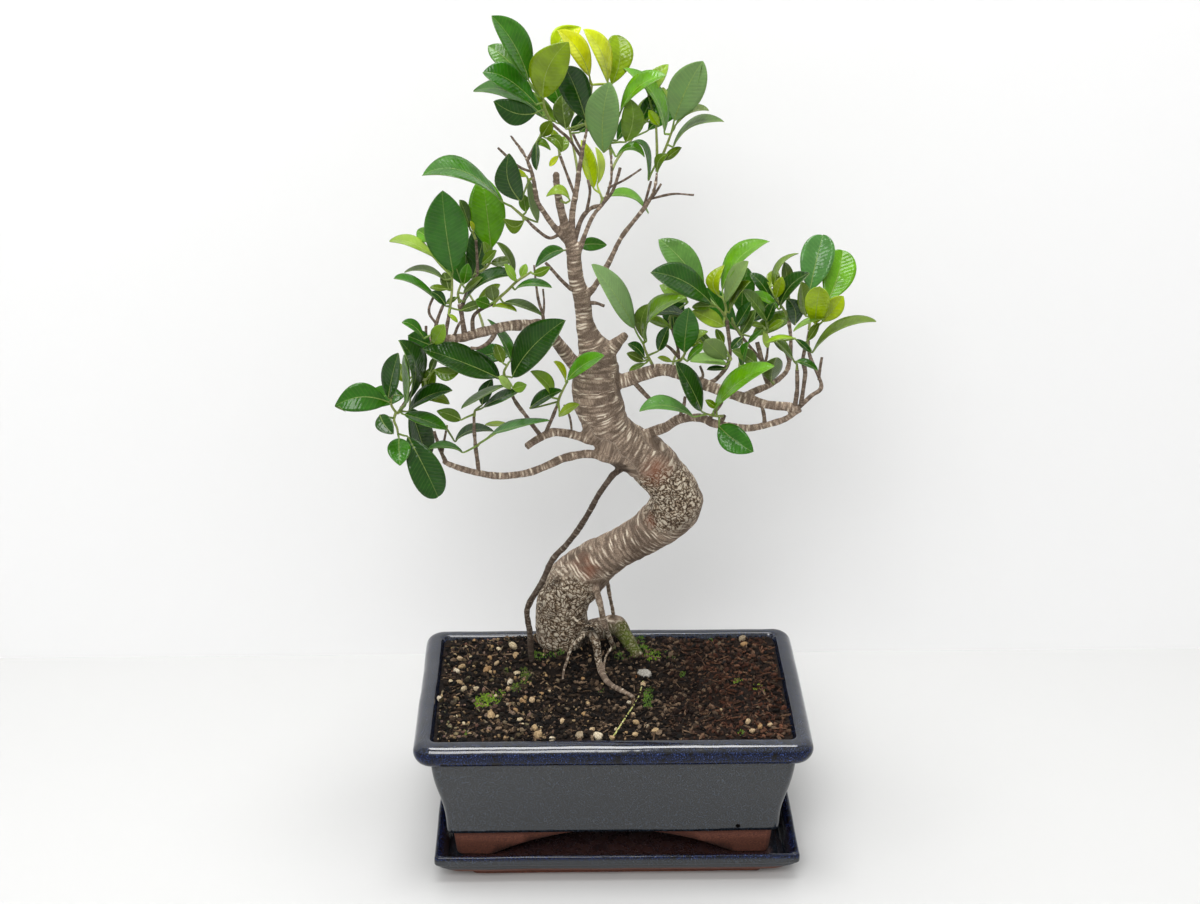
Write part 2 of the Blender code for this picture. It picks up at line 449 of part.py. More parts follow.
        Leaf((752, 322), (784, 288), 20, "dark", (770, 302)),
        Leaf((736, 330), (706, 288), 26, "mid", (718, 306)),
        Leaf((752, 336), (796, 312), 18, "olive", (775, 322)),
    )),
    Spray("spray_back_right_near", 4.2, 1, (((672, 371, -6), (674, 360, 14), (680, 344, 26)),), (
        Leaf((683, 336), (688, 308), 20, "mid"),
        Leaf((676, 334), (672, 284), 24, "dark", (672, 308)),
        Leaf((690, 346), (708, 336), 12, "olive"),
    )),
    Spray("spray_back_crown", 2.4, 1, (((576, 192, 12), (578, 176, 26), (574, 150, 38), (568, 124, 44)),), (
        Leaf((562, 108), (550, 58), 28, "mid", (553, 82)),
        Leaf((574, 112), (574, 76), 22, "dark"),
        Leaf((580, 132), (604, 96), 26, "mid", (596, 114)),
        Leaf((556, 122), (514, 92), 18, "olive", (534, 104)),
    )),
    Spray("spray_back_crown_right", 1.8, 1, (((611, 172, -5), (618, 158, 14), (634, 136, 26)),), (
        Leaf((638, 128), (650, 96), 16, "olive"),
        Leaf((648, 130), (688, 82), 26, "mid", (674, 102)),
    )),
)

TONES = {
    "dark": (0.020, 0.075, 0.010), "mid": (0.040, 0.150, 0.018), "fresh": (0.080, 0.230, 0.020),
    "bright": (0.075, 0.205, 0.008), "lime": (0.200, 0.330, 0.010), "olive": (0.060, 0.110, 0.012),
    "grey": (0.105, 0.145, 0.070), "pale": (0.190, 0.300, 0.110), "matte": (0.130, 0.260, 0.070),
    "yellow": (0.400, 0.480, 0.020),
}
ROUND_STEPS = 4
TRUNK_SIDES = 3
BRANCH_SIDES = 1
TWIG_SIDES = 0
THICK_LIMB = 5.0


def collection(name, parent=None, hidden=False):
    made = bpy.data.collections.new(name)
    (parent or bpy.context.scene.collection).children.link(made)
    made.hide_render = hidden
    return made


def material(name, colour, roughness):
    made = bpy.data.materials.new(name)
    made.use_nodes = True
    made.diffuse_color = (*colour, 1)
    shader = made.node_tree.nodes["Principled BSDF"]
    shader.inputs["Base Color"].default_value = (*colour, 1)
    shader.inputs["Roughness"].default_value = roughness
    shader.inputs["Metallic"].default_value = 0.0
    return made


def object_of(name, mesh, place, finish=None):
    made = bpy.data.objects.new(name, mesh)
    if finish:
        mesh.materials.append(finish)
    place.objects.link(made)
    return made


def object_from(name, shape, place, finish=None):
    """An object from a bmesh, which is freed."""
    mesh = bpy.data.meshes.new(name)
    shape.to_mesh(mesh)
    shape.free()
    return object_of(name, mesh, place, finish)


def evaluated_mesh(source):
    graph = bpy.context.evaluated_depsgraph_get()
    return bpy.data.meshes.new_from_object(source.evaluated_get(graph))


def tube(name, points, diameters, sides, place, grow=0.0):
    """A closed tube through the points. grow thickens it and lengthens both ends, as for the hole it sits in."""
    points = [Vector(point) for point in points]
    points[0] = points[0] + (points[0] - points[1]).normalized() * grow
    points[-1] = points[-1] + (points[-1] - points[-2]).normalized() * grow
    curve = bpy.data.curves.new(name, "CURVE")
    curve.dimensions = "3D"
    curve.bevel_depth = 1.0
    curve.bevel_resolution = sides
    curve.use_fill_caps = True
    spline = curve.splines.new("POLY")
    spline.points.add(len(points) - 1)
    for knot, point, diameter in zip(spline.points, points, diameters):
        knot.co = (*point, 1)
        knot.radius = diameter * MM / 2 + grow
    line = bpy.data.objects.new(name + "_line", curve)
    place.objects.link(line)
    shape = bmesh.new()
    shape.from_mesh(evaluated_mesh(line))
    bmesh.ops.remove_doubles(shape, verts=shape.verts[:], dist=1e-6)
    bmesh.ops.recalc_face_normals(shape, faces=shape.faces[:])
    bpy.data.objects.remove(line)
    return object_from(name, shape, place)


def tapered(limb):
    """The diameters along a limb, from its first to its last."""
    first, last = limb.thickness
    steps = len(limb.points) - 1
    return [first + (last - first) * step / steps for step in range(steps + 1)]


def limb_tube(limb, place, grow=0.0):
    points = [sighted(point) for point in limb.points]
    sides = BRANCH_SIDES if limb.thickness[0] > THICK_LIMB else TWIG_SIDES
    return tube(limb.name, points, tapered(limb), sides, place, grow)


def grown_together(node, pieces, solver="EXACT"):
    """Joins everything in the collection to the node as one solid, and removes the collection."""
    union = node.modifiers.new("grown_together", "BOOLEAN")
    union.operation = "UNION"
    union.operand_type = "COLLECTION"
    union.collection = pieces
    union.solver = solver
    joined = evaluated_mesh(node)
    node.modifiers.clear()
    node.data = joined
    for piece in list(pieces.objects):
        bpy.data.objects.remove(piece)
    bpy.data.collections.remove(pieces)


def cut(node, cutters):
    hole = node.modifiers.new("cut", "BOOLEAN")
    hole.operation = "DIFFERENCE"
    hole.operand_type = "COLLECTION"
    hole.collection = cutters


def rounded_loop(shape, half_x, half_y, corner, height):
    """A closed loop of edges round a rectangle with rounded corners. height is a number or height(x, y)."""
    corners = []
    for quarter, (side_x, side_y) in enumerate(((1, 1), (-1, 1), (-1, -1), (1, -1))):
        for step in range(ROUND_STEPS + 1):
            angle = (quarter + step / ROUND_STEPS) * math.pi / 2
            x = side_x * (half_x - corner) + corner * math.cos(angle)
            y = side_y * (half_y - corner) + corner * math.sin(angle)
            z = height(x, y) if callable(height) else height
            corners.append(shape.verts.new((x, y, z)))
    return [shape.edges.new(ends) for ends in zip(corners, corners[1:] + corners[:1])]


def lofted(name, size, corner, profile, place, finish=None):
    """A rounded rectangle carried through (inset, height) steps, with a corner where a step has its own."""
    shape = bmesh.new()
    loops = []
    for inset, height, *own in profile:
        turn = own[0] if own else max(corner - inset, LEAST_CORNER)
        loops.append(rounded_loop(shape, size[0] / 2 - inset, size[1] / 2 - inset, turn, height))
    for end in (loops[0], loops[-1]):
        bmesh.ops.contextual_create(shape, geom=end)
    for lower, upper in zip(loops, loops[1:]):
        bmesh.ops.bridge_loops(shape, edges=lower + upper)
    bmesh.ops.triangulate(shape, faces=shape.faces[:])
    bmesh.ops.recalc_face_normals(shape, faces=shape.faces[:])
    return object_from(name, shape, place, finish)


def drum(name, radius, length, sides, middle, place, along="Z"):
    """A closed cylinder round its middle, along Z, X or Y."""
    shape = bmesh.new()
    bmesh.ops.create_cone(shape, cap_ends=True, segments=sides, radius1=radius, radius2=radius, depth=length)
    turn = {"Z": None, "X": "Y", "Y": "X"}[along]
    made = object_from(name, shape, place)
    made.location = middle
    if turn:
        made.rotation_euler["XYZ".index(turn)] = math.pi / 2
    return made


def trunk_foot():
    return sighted((562, 645, 42))


def soil_height(x, y):
    """The soil's surface: nearly level, lumpy, and mounded round the trunk but not at the pot's wall."""
    foot = trunk_foot()
    to_wall = min(POT_WIDTH / 2 - abs(x), POT_DEPTH / 2 - abs(y)) - RIM_WIDTH
    inside = min(max(to_wall / SOIL_LEVEL_BAND, 0), 1)
    apart = math.hypot(x - foot.x, y - foot.y) / MOUND_REACH
    lumps = 0.0008 * math.sin(95 * x + 1.3) * math.cos(120 * y) + 0.0005 * math.sin(210 * x - 150 * y)
    return SOIL_EDGE + inside * (MOUND_RISE * math.exp(-apart * apart) + lumps)


def on_soil(column, row, lift=0.0):
    """Where the line of sight meets the soil's surface, raised by lift."""
    depth = 0.0
    for _ in range(30):
        place = sighted((column, row, depth))
        depth += (place.z - soil_height(place.x, place.y)) / MM
    return place + Vector((0, 0, lift))


def make_saucer(parts):
    profile = (
        (SAUCER_BASE_INSET, 0.0), (SAUCER_BASE_INSET - 0.001, 0.0016), (0.0130, 0.0060), (0.0030, 0.0116),
        (0.0, 0.0132), (0.0, 0.0186), (0.0010, SAUCER_HEIGHT), (SAUCER_LIP - 0.001, SAUCER_HEIGHT - 0.0003),
        (SAUCER_LIP, SAUCER_HEIGHT - 0.0015), (0.0084, 0.0140), (0.0100, 0.0104), (0.0125, SAUCER_FLOOR),
    )
    glaze = material("glazed_stoneware", (0.018, 0.028, 0.070), 0.25)
    saucer = lofted("saucer", (SAUCER_WIDTH, SAUCER_DEPTH), SAUCER_CORNER, profile, parts, glaze)
    saucer.location.x = SAUCER_OFFSET


def pot_wall(height):
    """How far the pot's inner wall stands in from its widest outline, at this height."""
    mouth, neck = POT_RIM_HEIGHT - MOUTH_DROP, POT_RIM_HEIGHT - NECK_DROP
    if height > neck:
        return WALL_INSET_TOP + (WALL_INSET_NECK - WALL_INSET_TOP) * (mouth - height) / (mouth - neck)
    return WALL_INSET_NECK + (WALL_INSET_FLOOR - WALL_INSET_NECK) * (neck - height) / (neck - POT_FLOOR)


def make_pot(parts, helpers):
    rim, lip = POT_RIM_HEIGHT, POT_RIM_HEIGHT - LIP_HEIGHT
    body = ((0.0192, POT_BODY_BOTTOM), (0.0190, 0.0370), (0.0166, 0.0540), (0.0136, 0.0660), (0.0112, 0.0790),
            (LIP_REACH + 0.0002, lip - 0.0020))
    edge = ((0.0046, lip + 0.0004), (0.0010, lip + 0.0034), (0.0, lip + 0.0078), (0.0010, rim - 0.0036),
            (0.0034, rim - 0.0010), (0.0060, rim - 0.0002))
    mouth = ((RIM_WIDTH - 0.0007, rim), (RIM_WIDTH, rim - 0.0010), (WALL_INSET_TOP, rim - MOUTH_DROP),
             (WALL_INSET_NECK, rim - NECK_DROP), (WALL_INSET_FLOOR, POT_FLOOR))
    profile = [(*step, BODY_CORNER) for step in body] + list(edge) + [(*step, MOUTH_CORNER) for step in mouth]
    glaze = material("glazed_stoneware_pot", (0.018, 0.028, 0.070), 0.22)
    pot = lofted("pot", (POT_WIDTH, POT_DEPTH), POT_CORNER, profile, parts, glaze)
    sole = SAUCER_FLOOR + GAP
    foot_profile = ((FOOT_INSET, sole, BODY_CORNER), (FOOT_INSET - 0.002, POT_BODY_BOTTOM + 0.002, BODY_CORNER))
    hollow_profile = ((FOOT_INSET + FOOT_WALL, sole - 0.002, BODY_CORNER),
                      (FOOT_INSET + FOOT_WALL, POT_BODY_BOTTOM + 0.0004, BODY_CORNER))
    feet = collection("pot_feet", helpers)
    lofted("foot_block", (POT_WIDTH, POT_DEPTH), POT_CORNER, foot_profile, feet)
    grown_together(pot, feet)
    cutters = collection("pot_cutters", helpers, True)
    lofted("foot_hollow", (POT_WIDTH, POT_DEPTH), POT_CORNER, hollow_profile, cutters)
    for width, along in ((ARCH_WIDTH, "Y"), (SIDE_ARCH_WIDTH, "X")):
        radius = (width * width / 4 + ARCH_RISE * ARCH_RISE) / (2 * ARCH_RISE)
        middle = (0, 0, sole + ARCH_RISE - radius)
        drum("arch_" + along, radius, 2 * POT_WIDTH, 72, middle, cutters, along)
    for side in (-1, 1):
        drum(f"drain_{side}", DRAIN_RADIUS, 0.03, 16, (side * DRAIN_SPACING / 2, 0, POT_FLOOR - 0.005), cutters)
    for cutter in cutters.objects:
        cutter.hide_render = True
        cutter.display_type = "WIRE"
    cut(pot, cutters)


def make_drain_screens(parts):
    plastic = material("mesh_plastic", (0.020, 0.022, 0.020), 0.6)
    for side, word in ((-1, "left"), (1, "right")):
        shape = bmesh.new()
        bmesh.ops.create_grid(shape, x_segments=SCREEN_MESHES, y_segments=SCREEN_MESHES, size=SCREEN_SIZE / 2)
        bmesh.ops.inset_individual(shape, faces=shape.faces[:], thickness=SCREEN_WIRE)
        eyes = [face for face in shape.faces if face.calc_area() > (SCREEN_SIZE / SCREEN_MESHES / 2) ** 2]
        bmesh.ops.delete(shape, geom=eyes, context="FACES_ONLY")
        screen = object_from("drain_screen_" + word, shape, parts, plastic)
        screen.location = (side * DRAIN_SPACING / 2, 0, POT_FLOOR + GAP)
        sheet = screen.modifiers.new("sheet", "SOLIDIFY")
        sheet.thickness = SCREEN_THICKNESS
        sheet.offset = 1


def make_soil(parts, cutters):
    bottom = POT_FLOOR + SCREEN_THICKNESS + 2 * GAP
    clear = 1.6 * GAP
    heights = (bottom, POT_RIM_HEIGHT - NECK_DROP, SOIL_EDGE - 0.0015)
    profile = [(pot_wall(height) + clear, height, MOUTH_CORNER) for height in heights]
    profile += [(inset, soil_height) for inset in (0.0150, 0.0230, 0.0340, 0.0450, 0.0560, 0.0680)]
    earth = material("bonsai_soil", (0.045, 0.032, 0.022), 0.95)
    soil = lofted("soil", (POT_WIDTH, POT_DEPTH), POT_CORNER, profile, parts, earth)
    for cutter in cutters.objects:
        cutter.hide_render = True
        cutter.display_type = "WIRE"
    cut(soil, cutters)


def make_trunk(parts, helpers, holes):
    """The woody part as one solid, and the holes that it and its roots stand in."""
    wood = collection("wood_pieces", helpers)
    bark = material("fig_bark", (0.160, 0.105, 0.065), 0.8)
    axis = [sighted(point[:3]) for point in TRUNK_AXIS]
    thickness = [point[3] for point in TRUNK_AXIS]
    trunk = tube("trunk", axis, thickness, TRUNK_SIDES, parts)
    for limb in ROOTS + BRANCHES + TWIGS:
        limb_tube(limb, wood)
    grown_together(trunk, wood)
    trunk.data.materials.append(bark)
    tube("trunk_hole", axis[:6], thickness[:6], TRUNK_SIDES, holes, 1.6 * GAP)
    for root in ROOTS:
        limb_tube(root, holes, 1.6 * GAP).name = root.name + "_hole"


def make_stone_disc(parts, holes):
    stone = material("rough_grey_stone", (0.220, 0.210, 0.190), 0.9)
    seat = on_soil(644, 674)
    middle = seat + Vector((0, 0, DISC_THICKNESS / 2))
    disc = drum("stone_disc", DISC_RADIUS, DISC_THICKNESS, 16, middle, parts)
    disc.data.materials.append(stone)
    room = DISC_THICKNESS + 4 * GAP
    drum("disc_seat", DISC_RADIUS + 2 * GAP, room, 16, seat + Vector((0, 0, room / 2 - GAP)), holes)


def make_dry_stem(parts, holes):
    straw = material("dry_stalk", (0.330, 0.290, 0.070), 0.7)
    route = ((642, 685), (640, 694), (636, 704), (627, 719), (617, 733), (613, 739))
    points = [on_soil(column, row, DRY_STEM_RADIUS) for column, row in route]
    diameters = [2 * DRY_STEM_RADIUS / MM] * len(points)
    stem = tube("dry_stem", points, diameters, TWIG_SIDES, parts)
    stem.data.materials.append(straw)
    tube("dry_stem_seat", points, diameters, TWIG_SIDES, holes, 2 * GAP)

NATURAL_SLENDERNESS = 2.1
LONGEST_LEAF = 60.0
# A leaf's outline, as the share of its length and of its breadth, for leaves longer than each length
OUTLINES = (
    (0.036, ((0.20, 0.70), (0.50, 1.0), (0.80, 0.66))),
    (0.015, ((0.32, 0.92), (0.70, 0.84))),
    (0.0, ((0.50, 1.0),)),
)
BEND_BULGE = 0.06
STALK_LIFT = 2.4
STALK_DRIFT = 0.3
SHOOT_BARE = 0.45


def along(points, share):
    """The point this share of the way from one end of a pair to the other."""
    return tuple(a + (b - a) * share for a, b in zip(*points))


def carrier(spray, leaf):
    """The sight point on the spray's shoots that is nearest to the leaf's base in the view."""
    found = []
    for shoot in spray.shoots:
        bare = SHOOT_BARE
        for pair in zip(shoot, shoot[1:]):
            found += [along(pair, bare + (0.95 - bare) * step / 6) for step in range(7)]
            bare = 0
    return min(found, key=lambda point: math.dist(point[:2], leaf.base))


def leaf_line(spray, leaf):
    """A leaf's base, middle and tip as places, and its breadth in the view, in metres."""
    lean = leaf.lean or spray.lean
    stem = carrier(spray, leaf)
    seen_length = math.dist(leaf.base, leaf.tip) * SIGHT_MM
    seen_breadth = leaf.wide * SIGHT_MM
    length = min(max(1.02 * seen_length, 1.8 * seen_breadth), LONGEST_LEAF)
    reach = math.sqrt(max(length ** 2 - seen_length ** 2, (0.2 * seen_length) ** 2))
    start = stem[2] + lean * (STALK_LIFT + STALK_DRIFT * math.dist(stem[:2], leaf.base) * SIGHT_MM)
    end = start + lean * reach
    bend = leaf.bend or along((leaf.base, leaf.tip), 0.5)
    middle = (start + end) / 2 - BEND_BULGE * seen_length
    return (sighted((*leaf.base, start)), sighted((*bend, middle)), sighted((*leaf.tip, end)),
            seen_breadth * MM)


def leaf_frame(spray, leaf):
    """The leaf's midrib as a function of the share of its length, its normal, side direction and half breadth."""
    base, middle, tip, seen_breadth = leaf_line(spray, leaf)
    pull = 2 * middle - (base + tip) / 2

    def midrib(share):
        return base * (1 - share) ** 2 + pull * 2 * share * (1 - share) + tip * share ** 2

    axis = (tip - base).normalized()
    sight = VIEW_POINT - middle
    sight = (sight - axis * sight.dot(axis)).normalized()
    level = axis.cross(sight)
    breadth = max(seen_breadth, (tip - base).length / NATURAL_SLENDERNESS)
    turned = math.acos(max(seen_breadth / breadth, 0.2))
    if leaf.under:
        turned = math.pi - turned
    choices = [(sight * math.cos(turn) - level * math.sin(turn), turn) for turn in (turned, -turned)]
    normal, turn = max(choices, key=lambda choice: choice[0].z)
    side = level * math.cos(turn) + sight * math.sin(turn)
    return midrib, normal, side, breadth / 2


def leaf_blade(name, spray, leaf, place):
    """A leaf and its stalk as one thin sheet: a grid one face wide, drawn out from the shoot to the tip."""
    midrib, normal, side, half = leaf_frame(spray, leaf)
    length = (midrib(1) - midrib(0)).length
    outline = next(outline for least, outline in OUTLINES if length > least)
    stations = [(sighted(carrier(spray, leaf)), STALK_RADIUS), (midrib(0), STALK_RADIUS)]
    stations += [(midrib(share), breadth * half) for share, breadth in outline]
    stations.append((midrib(1), 0.0))
    if (stations[0][0] - stations[1][0]).length < 0.0015:
        del stations[1]
    steps = len(stations) - 1
    shape = bmesh.new()
    bmesh.ops.create_grid(shape, x_segments=1, y_segments=steps, size=1)
    for corner in shape.verts:
        middle, breadth = stations[round((corner.co.y + 1) / 2 * steps)]
        corner.co = middle + side * corner.co.x * breadth
    bmesh.ops.remove_doubles(shape, verts=shape.verts[:], dist=1e-6)
    bmesh.ops.triangulate(shape, faces=shape.faces[:])
    blade = object_from(name, shape, place)
    sheet = blade.modifiers.new("sheet", "SOLIDIFY")
    sheet.thickness = BLADE
    sheet.offset = 0
    return blade


def make_spray(spray, parts, helpers):
    """A leafy stem as one solid: its shoots, and each leaf on its stalk."""
    tones = [TONES[leaf.tone] for leaf in spray.leaves]
    colour = [sum(tone[channel] for tone in tones) / len(tones) for channel in range(3)]
    size = 2 * SHOOT_RADIUS / MM
    pieces = collection(spray.name + "_pieces", helpers)
    for number, shoot in enumerate(spray.shoots):
        points = [sighted(point) for point in shoot]
        if number == 0:
            away = (points[1] - points[0]).normalized()
            points[0] = points[0] + away * (spray.seat * MM + GAP * 1.2)
            node = tube(spray.name, points, [size] * len(points), TWIG_SIDES, parts)
        else:
            tube(f"{spray.name}_shoot_{number}", points, [size] * len(points), TWIG_SIDES, pieces)
    for number, leaf in enumerate(spray.leaves):
        leaf_blade(f"{spray.name}_leaf_{number}", spray, leaf, pieces)
    grown_together(node, pieces, "MANIFOLD")
    node.data.materials.clear()
    node.data.materials.append(material(spray.name + "_leaf", colour, 0.4))


def main():
    for leftover in list(bpy.data.objects):
        bpy.data.objects.remove(leftover)
    parts = collection("bonsai_tree_in_a_pot")
    helpers = collection("helpers")
    holes = collection("soil_cutters", helpers, True)
    make_saucer(parts)
    make_pot(parts, helpers)
    make_drain_screens(parts)
    make_trunk(parts, helpers, holes)
    make_stone_disc(parts, holes)
    make_dry_stem(parts, holes)
    make_soil(parts, holes)
    for spray in SPRAYS:
        make_spray(spray, parts, helpers)


main()
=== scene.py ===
# %% [markdown]
# A small-leaved fig grown as an S-shaped bonsai stands in a glazed rectangular pot on a matching tray.
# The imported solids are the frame: they say where the pot, the trunk and each leafy stem are. This script
# gives each of them the surface that the real one has. It starts by loading that frame.

# %% Load the frame
import json
import math
import random
from collections import namedtuple
from functools import partial

import bmesh
import bpy
from mathutils import Matrix, Vector, noise
from mathutils.kdtree import KDTree

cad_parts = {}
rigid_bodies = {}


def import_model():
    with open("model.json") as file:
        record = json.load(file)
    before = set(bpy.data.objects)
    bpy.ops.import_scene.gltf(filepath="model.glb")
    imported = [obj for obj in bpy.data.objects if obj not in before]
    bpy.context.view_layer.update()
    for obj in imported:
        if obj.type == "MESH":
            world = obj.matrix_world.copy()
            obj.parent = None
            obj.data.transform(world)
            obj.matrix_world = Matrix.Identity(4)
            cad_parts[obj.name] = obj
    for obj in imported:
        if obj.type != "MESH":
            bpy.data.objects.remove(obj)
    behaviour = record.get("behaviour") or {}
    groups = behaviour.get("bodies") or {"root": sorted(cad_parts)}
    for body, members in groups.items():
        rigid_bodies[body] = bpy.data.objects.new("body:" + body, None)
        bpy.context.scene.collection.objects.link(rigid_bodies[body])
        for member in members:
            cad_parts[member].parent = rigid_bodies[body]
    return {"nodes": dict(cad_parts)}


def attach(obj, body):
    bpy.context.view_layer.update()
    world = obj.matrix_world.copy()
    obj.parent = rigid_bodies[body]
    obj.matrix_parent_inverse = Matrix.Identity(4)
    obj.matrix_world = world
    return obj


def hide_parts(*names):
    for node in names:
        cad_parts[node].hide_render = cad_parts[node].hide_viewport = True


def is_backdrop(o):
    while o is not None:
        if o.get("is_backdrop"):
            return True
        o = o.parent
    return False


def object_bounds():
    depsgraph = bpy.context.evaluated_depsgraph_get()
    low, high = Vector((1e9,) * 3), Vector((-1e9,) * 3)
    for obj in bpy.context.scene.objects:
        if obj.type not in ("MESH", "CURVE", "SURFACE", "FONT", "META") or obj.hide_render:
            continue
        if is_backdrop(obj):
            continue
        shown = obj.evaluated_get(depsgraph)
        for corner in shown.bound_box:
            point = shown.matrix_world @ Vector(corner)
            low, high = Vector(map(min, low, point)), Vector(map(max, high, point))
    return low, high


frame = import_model()
cad_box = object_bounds()
MM = 0.001
# The same unevenness in each run
NOISE_SEED = 7
noise.seed_set(NOISE_SEED)
print("nodes:", len(frame["nodes"]), "box:", [round(side * 1000) for side in cad_box[1] - cad_box[0]], "mm")

# %% [markdown]
# The picture was taken from a little above the tree's middle, 1.2 m in front of the pot, with a lens that
# flattens little. A tree has no regular measures, so its points are kept as sight points: the column and row
# where the eye sees them in a picture of 1200 by 904 pixels, and a depth in millimetres behind the plane that
# is REACH in front of the eye. The camera stands at the same eye, so that a point that is right in the picture
# is also right in space.

# %% The eye and the camera
EYE = Vector((-0.027, -1.173, 0.763))
REACH = 1.178
TILT = math.radians(22.7)
TURN = math.radians(0.95)
PICTURE_WIDTH = 1200
LENS_PIXELS = 2000.0
MIDDLE = (600.0, 452.0)
SENSOR_MM = 36.0
SIGHT_MM = 0.61


def sighted(point):
    """The place of a sight point: column, row, depth in millimetres."""
    column, row, depth = point
    across = (column - MIDDLE[0]) / LENS_PIXELS
    down = (row - MIDDLE[1]) / LENS_PIXELS
    level = math.cos(TILT) - down * math.sin(TILT)
    ray = Vector((
        math.sin(TURN) * level + across * math.cos(TURN),
        math.cos(TURN) * level - across * math.sin(TURN),
        -math.sin(TILT) - down * math.cos(TILT),
    ))
    return EYE + ray * ((depth * MM + REACH) / ray.y)


lens = bpy.data.cameras.new("camera")
lens.sensor_width = SENSOR_MM
lens.lens = LENS_PIXELS / PICTURE_WIDTH * SENSOR_MM
camera = bpy.data.objects.new("camera", lens)
camera.location = EYE
camera.rotation_euler = (math.pi / 2 - TILT, 0, -TURN)
bpy.context.scene.collection.objects.link(camera)
bpy.context.scene.camera = camera
print("lens:", round(lens.lens, 1), "mm")

# %% [markdown]
# The set is a pale table in front of a pale wall, in a soft white room. One big lamp hangs above the tree and
# one stands above and behind the camera. A glossy glaze shows what is around it: the bright table and wall turn
# its faces grey, and the lamps are the bright lines on its rounded edges.

# %% Table and light
WALL_PLACE = 0.235
ROOM_LIGHT = 0.6
AIM = Vector((0, 0, 0.25))


def linear(colour, alpha=1.0):
    """An sRGB hex colour as the linear numbers that Blender's sockets take."""
    levels = [int(colour[start:start + 2], 16) / 255 for start in (1, 3, 5)]
    return tuple(v / 12.92 if v <= 0.04045 else ((v + 0.055) / 1.055) ** 2.4 for v in levels) + (alpha,)


def feed(made, inputs):
    """Sets a node's sockets by name or number. A socket is linked, and a node by its first output in use."""
    links = made.id_data.links
    for name, value in inputs.items():
        if isinstance(name, int):
            socket = made.inputs[name]
        else:
            socket = next(held for held in made.inputs if held.name == name and held.enabled)
        if isinstance(value, bpy.types.Node):
            value = next(held for held in value.outputs if held.enabled)
        if isinstance(value, bpy.types.NodeSocket):
            links.new(value, socket)
        else:
            socket.default_value = value


def add(tree, kind, inputs=None, stops=None, span=None, **settings):
    """Adds a node. kind may end in an operation. stops are a ramp's colours, span a MapRange's ends."""
    kind, *operation = kind.split()
    made = tree.nodes.new("ShaderNode" + kind)
    if kind == "Mix":
        made.data_type = "RGBA"
    if operation:
        made.operation = operation[0]
    for name, value in settings.items():
        setattr(made, name, value)
    for element in range(2, len(stops or ())):
        made.color_ramp.elements.new(0.5)
    for element, (place, colour) in zip(made.color_ramp.elements if stops else (), stops or ()):
        element.position = place
        element.color = linear(colour)
    feed(made, {**(inputs or {}), **dict(enumerate(span or (), 1))})
    return made


def finish_named(name):
    """A new material, the function that adds a node to it, and its Principled shader."""
    made = bpy.data.materials.new(name)
    made.use_nodes = True
    return made, partial(add, made.node_tree), made.node_tree.nodes["Principled BSDF"]


def show(shape, name, finishes, smooth=True):
    """A bmesh as an object in the scene, with its finishes in order. The bmesh is freed."""
    mesh = bpy.data.meshes.new(name)
    shape.to_mesh(mesh)
    shape.free()
    mesh.polygons.foreach_set("use_smooth", [smooth] * len(mesh.polygons))
    for finish in finishes:
        mesh.materials.append(finish)
    made = bpy.data.objects.new(name, mesh)
    bpy.context.scene.collection.objects.link(made)
    return made


def soft_lamp(name, place, size, watts):
    """A square lamp that looks at the middle of the tree."""
    light = bpy.data.lights.new(name, "AREA")
    light.size = size
    light.energy = watts
    lamp = bpy.data.objects.new(name, light)
    lamp.location = place
    lamp.rotation_euler = (AIM - lamp.location).to_track_quat("-Z", "Y").to_euler()
    bpy.context.scene.collection.objects.link(lamp)


floor_finish, put, shader = finish_named("painted table")
grain = put("TexNoise", {"Scale": 3.0, "Detail": 4.0})
tone = put("ValToRGB", {"Fac": grain}, stops=((0.3, "#cbcbca"), (0.7, "#d2d2d2")))
feed(shader, {"Base Color": tone, "Roughness": 0.45})
shape = bmesh.new()
bmesh.ops.create_grid(shape, x_segments=4, y_segments=4, size=12)
table = show(shape, "table", [floor_finish])
wall_finish, put, shader = finish_named("painted wall")
feed(shader, {"Base Color": linear("#f0f0f0"), "Roughness": 0.9})
# Seen from behind, the wall is clear, so that the tree can be looked at from the back too
facing = put("NewGeometry").outputs["Backfacing"]
clear = put("BsdfTransparent").outputs["BSDF"]
one_sided = put("MixShader", {0: facing, 1: shader.outputs["BSDF"], 2: clear})
feed(wall_finish.node_tree.nodes["Material Output"], {"Surface": one_sided})
shape = bmesh.new()
bmesh.ops.create_grid(shape, x_segments=4, y_segments=4, size=4)
bmesh.ops.rotate(shape, cent=(0, 0, 0), matrix=Matrix.Rotation(math.pi / 2, 3, "X"), verts=shape.verts)
bmesh.ops.translate(shape, vec=(0, WALL_PLACE, 4), verts=shape.verts)
wall = show(shape, "wall", [wall_finish])
for backdrop in (table, wall):
    backdrop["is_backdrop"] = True

world = bpy.data.worlds.new("soft room")
bpy.context.scene.world = world
world.use_nodes = True
feed(world.node_tree.nodes["Background"], {"Color": linear("#ffffff"), "Strength": ROOM_LIGHT})
bpy.context.scene.view_settings.view_transform = "Standard"
soft_lamp("lamp_above", (-0.05, -0.06, 1.9), 0.9, 26)
soft_lamp("lamp_window", (-0.45, -1.9, 1.9), 1.1, 29)
print("lamps:", [item.name for item in bpy.data.lights])

# %% [markdown]
# The pot is one piece of fired stoneware: a rectangular body with rounded corners, a thick rounded lip, and
# unglazed feet. Its walls are the same rounded rectangle carried through many heights, so it is lofted: one
# outline for each step of the profile, and a bridge between each two. A bevelled square gives the outline.

# %% Outline and loft
CORNER_STEPS = 12
LONG_EDGE = 0.05
EDGE_CUTS = 24
WARP = 0.0004
# How many waves of its warp a metre holds, the broad ones and the fine
BROAD_WARP, FINE_WARP = 22, 70


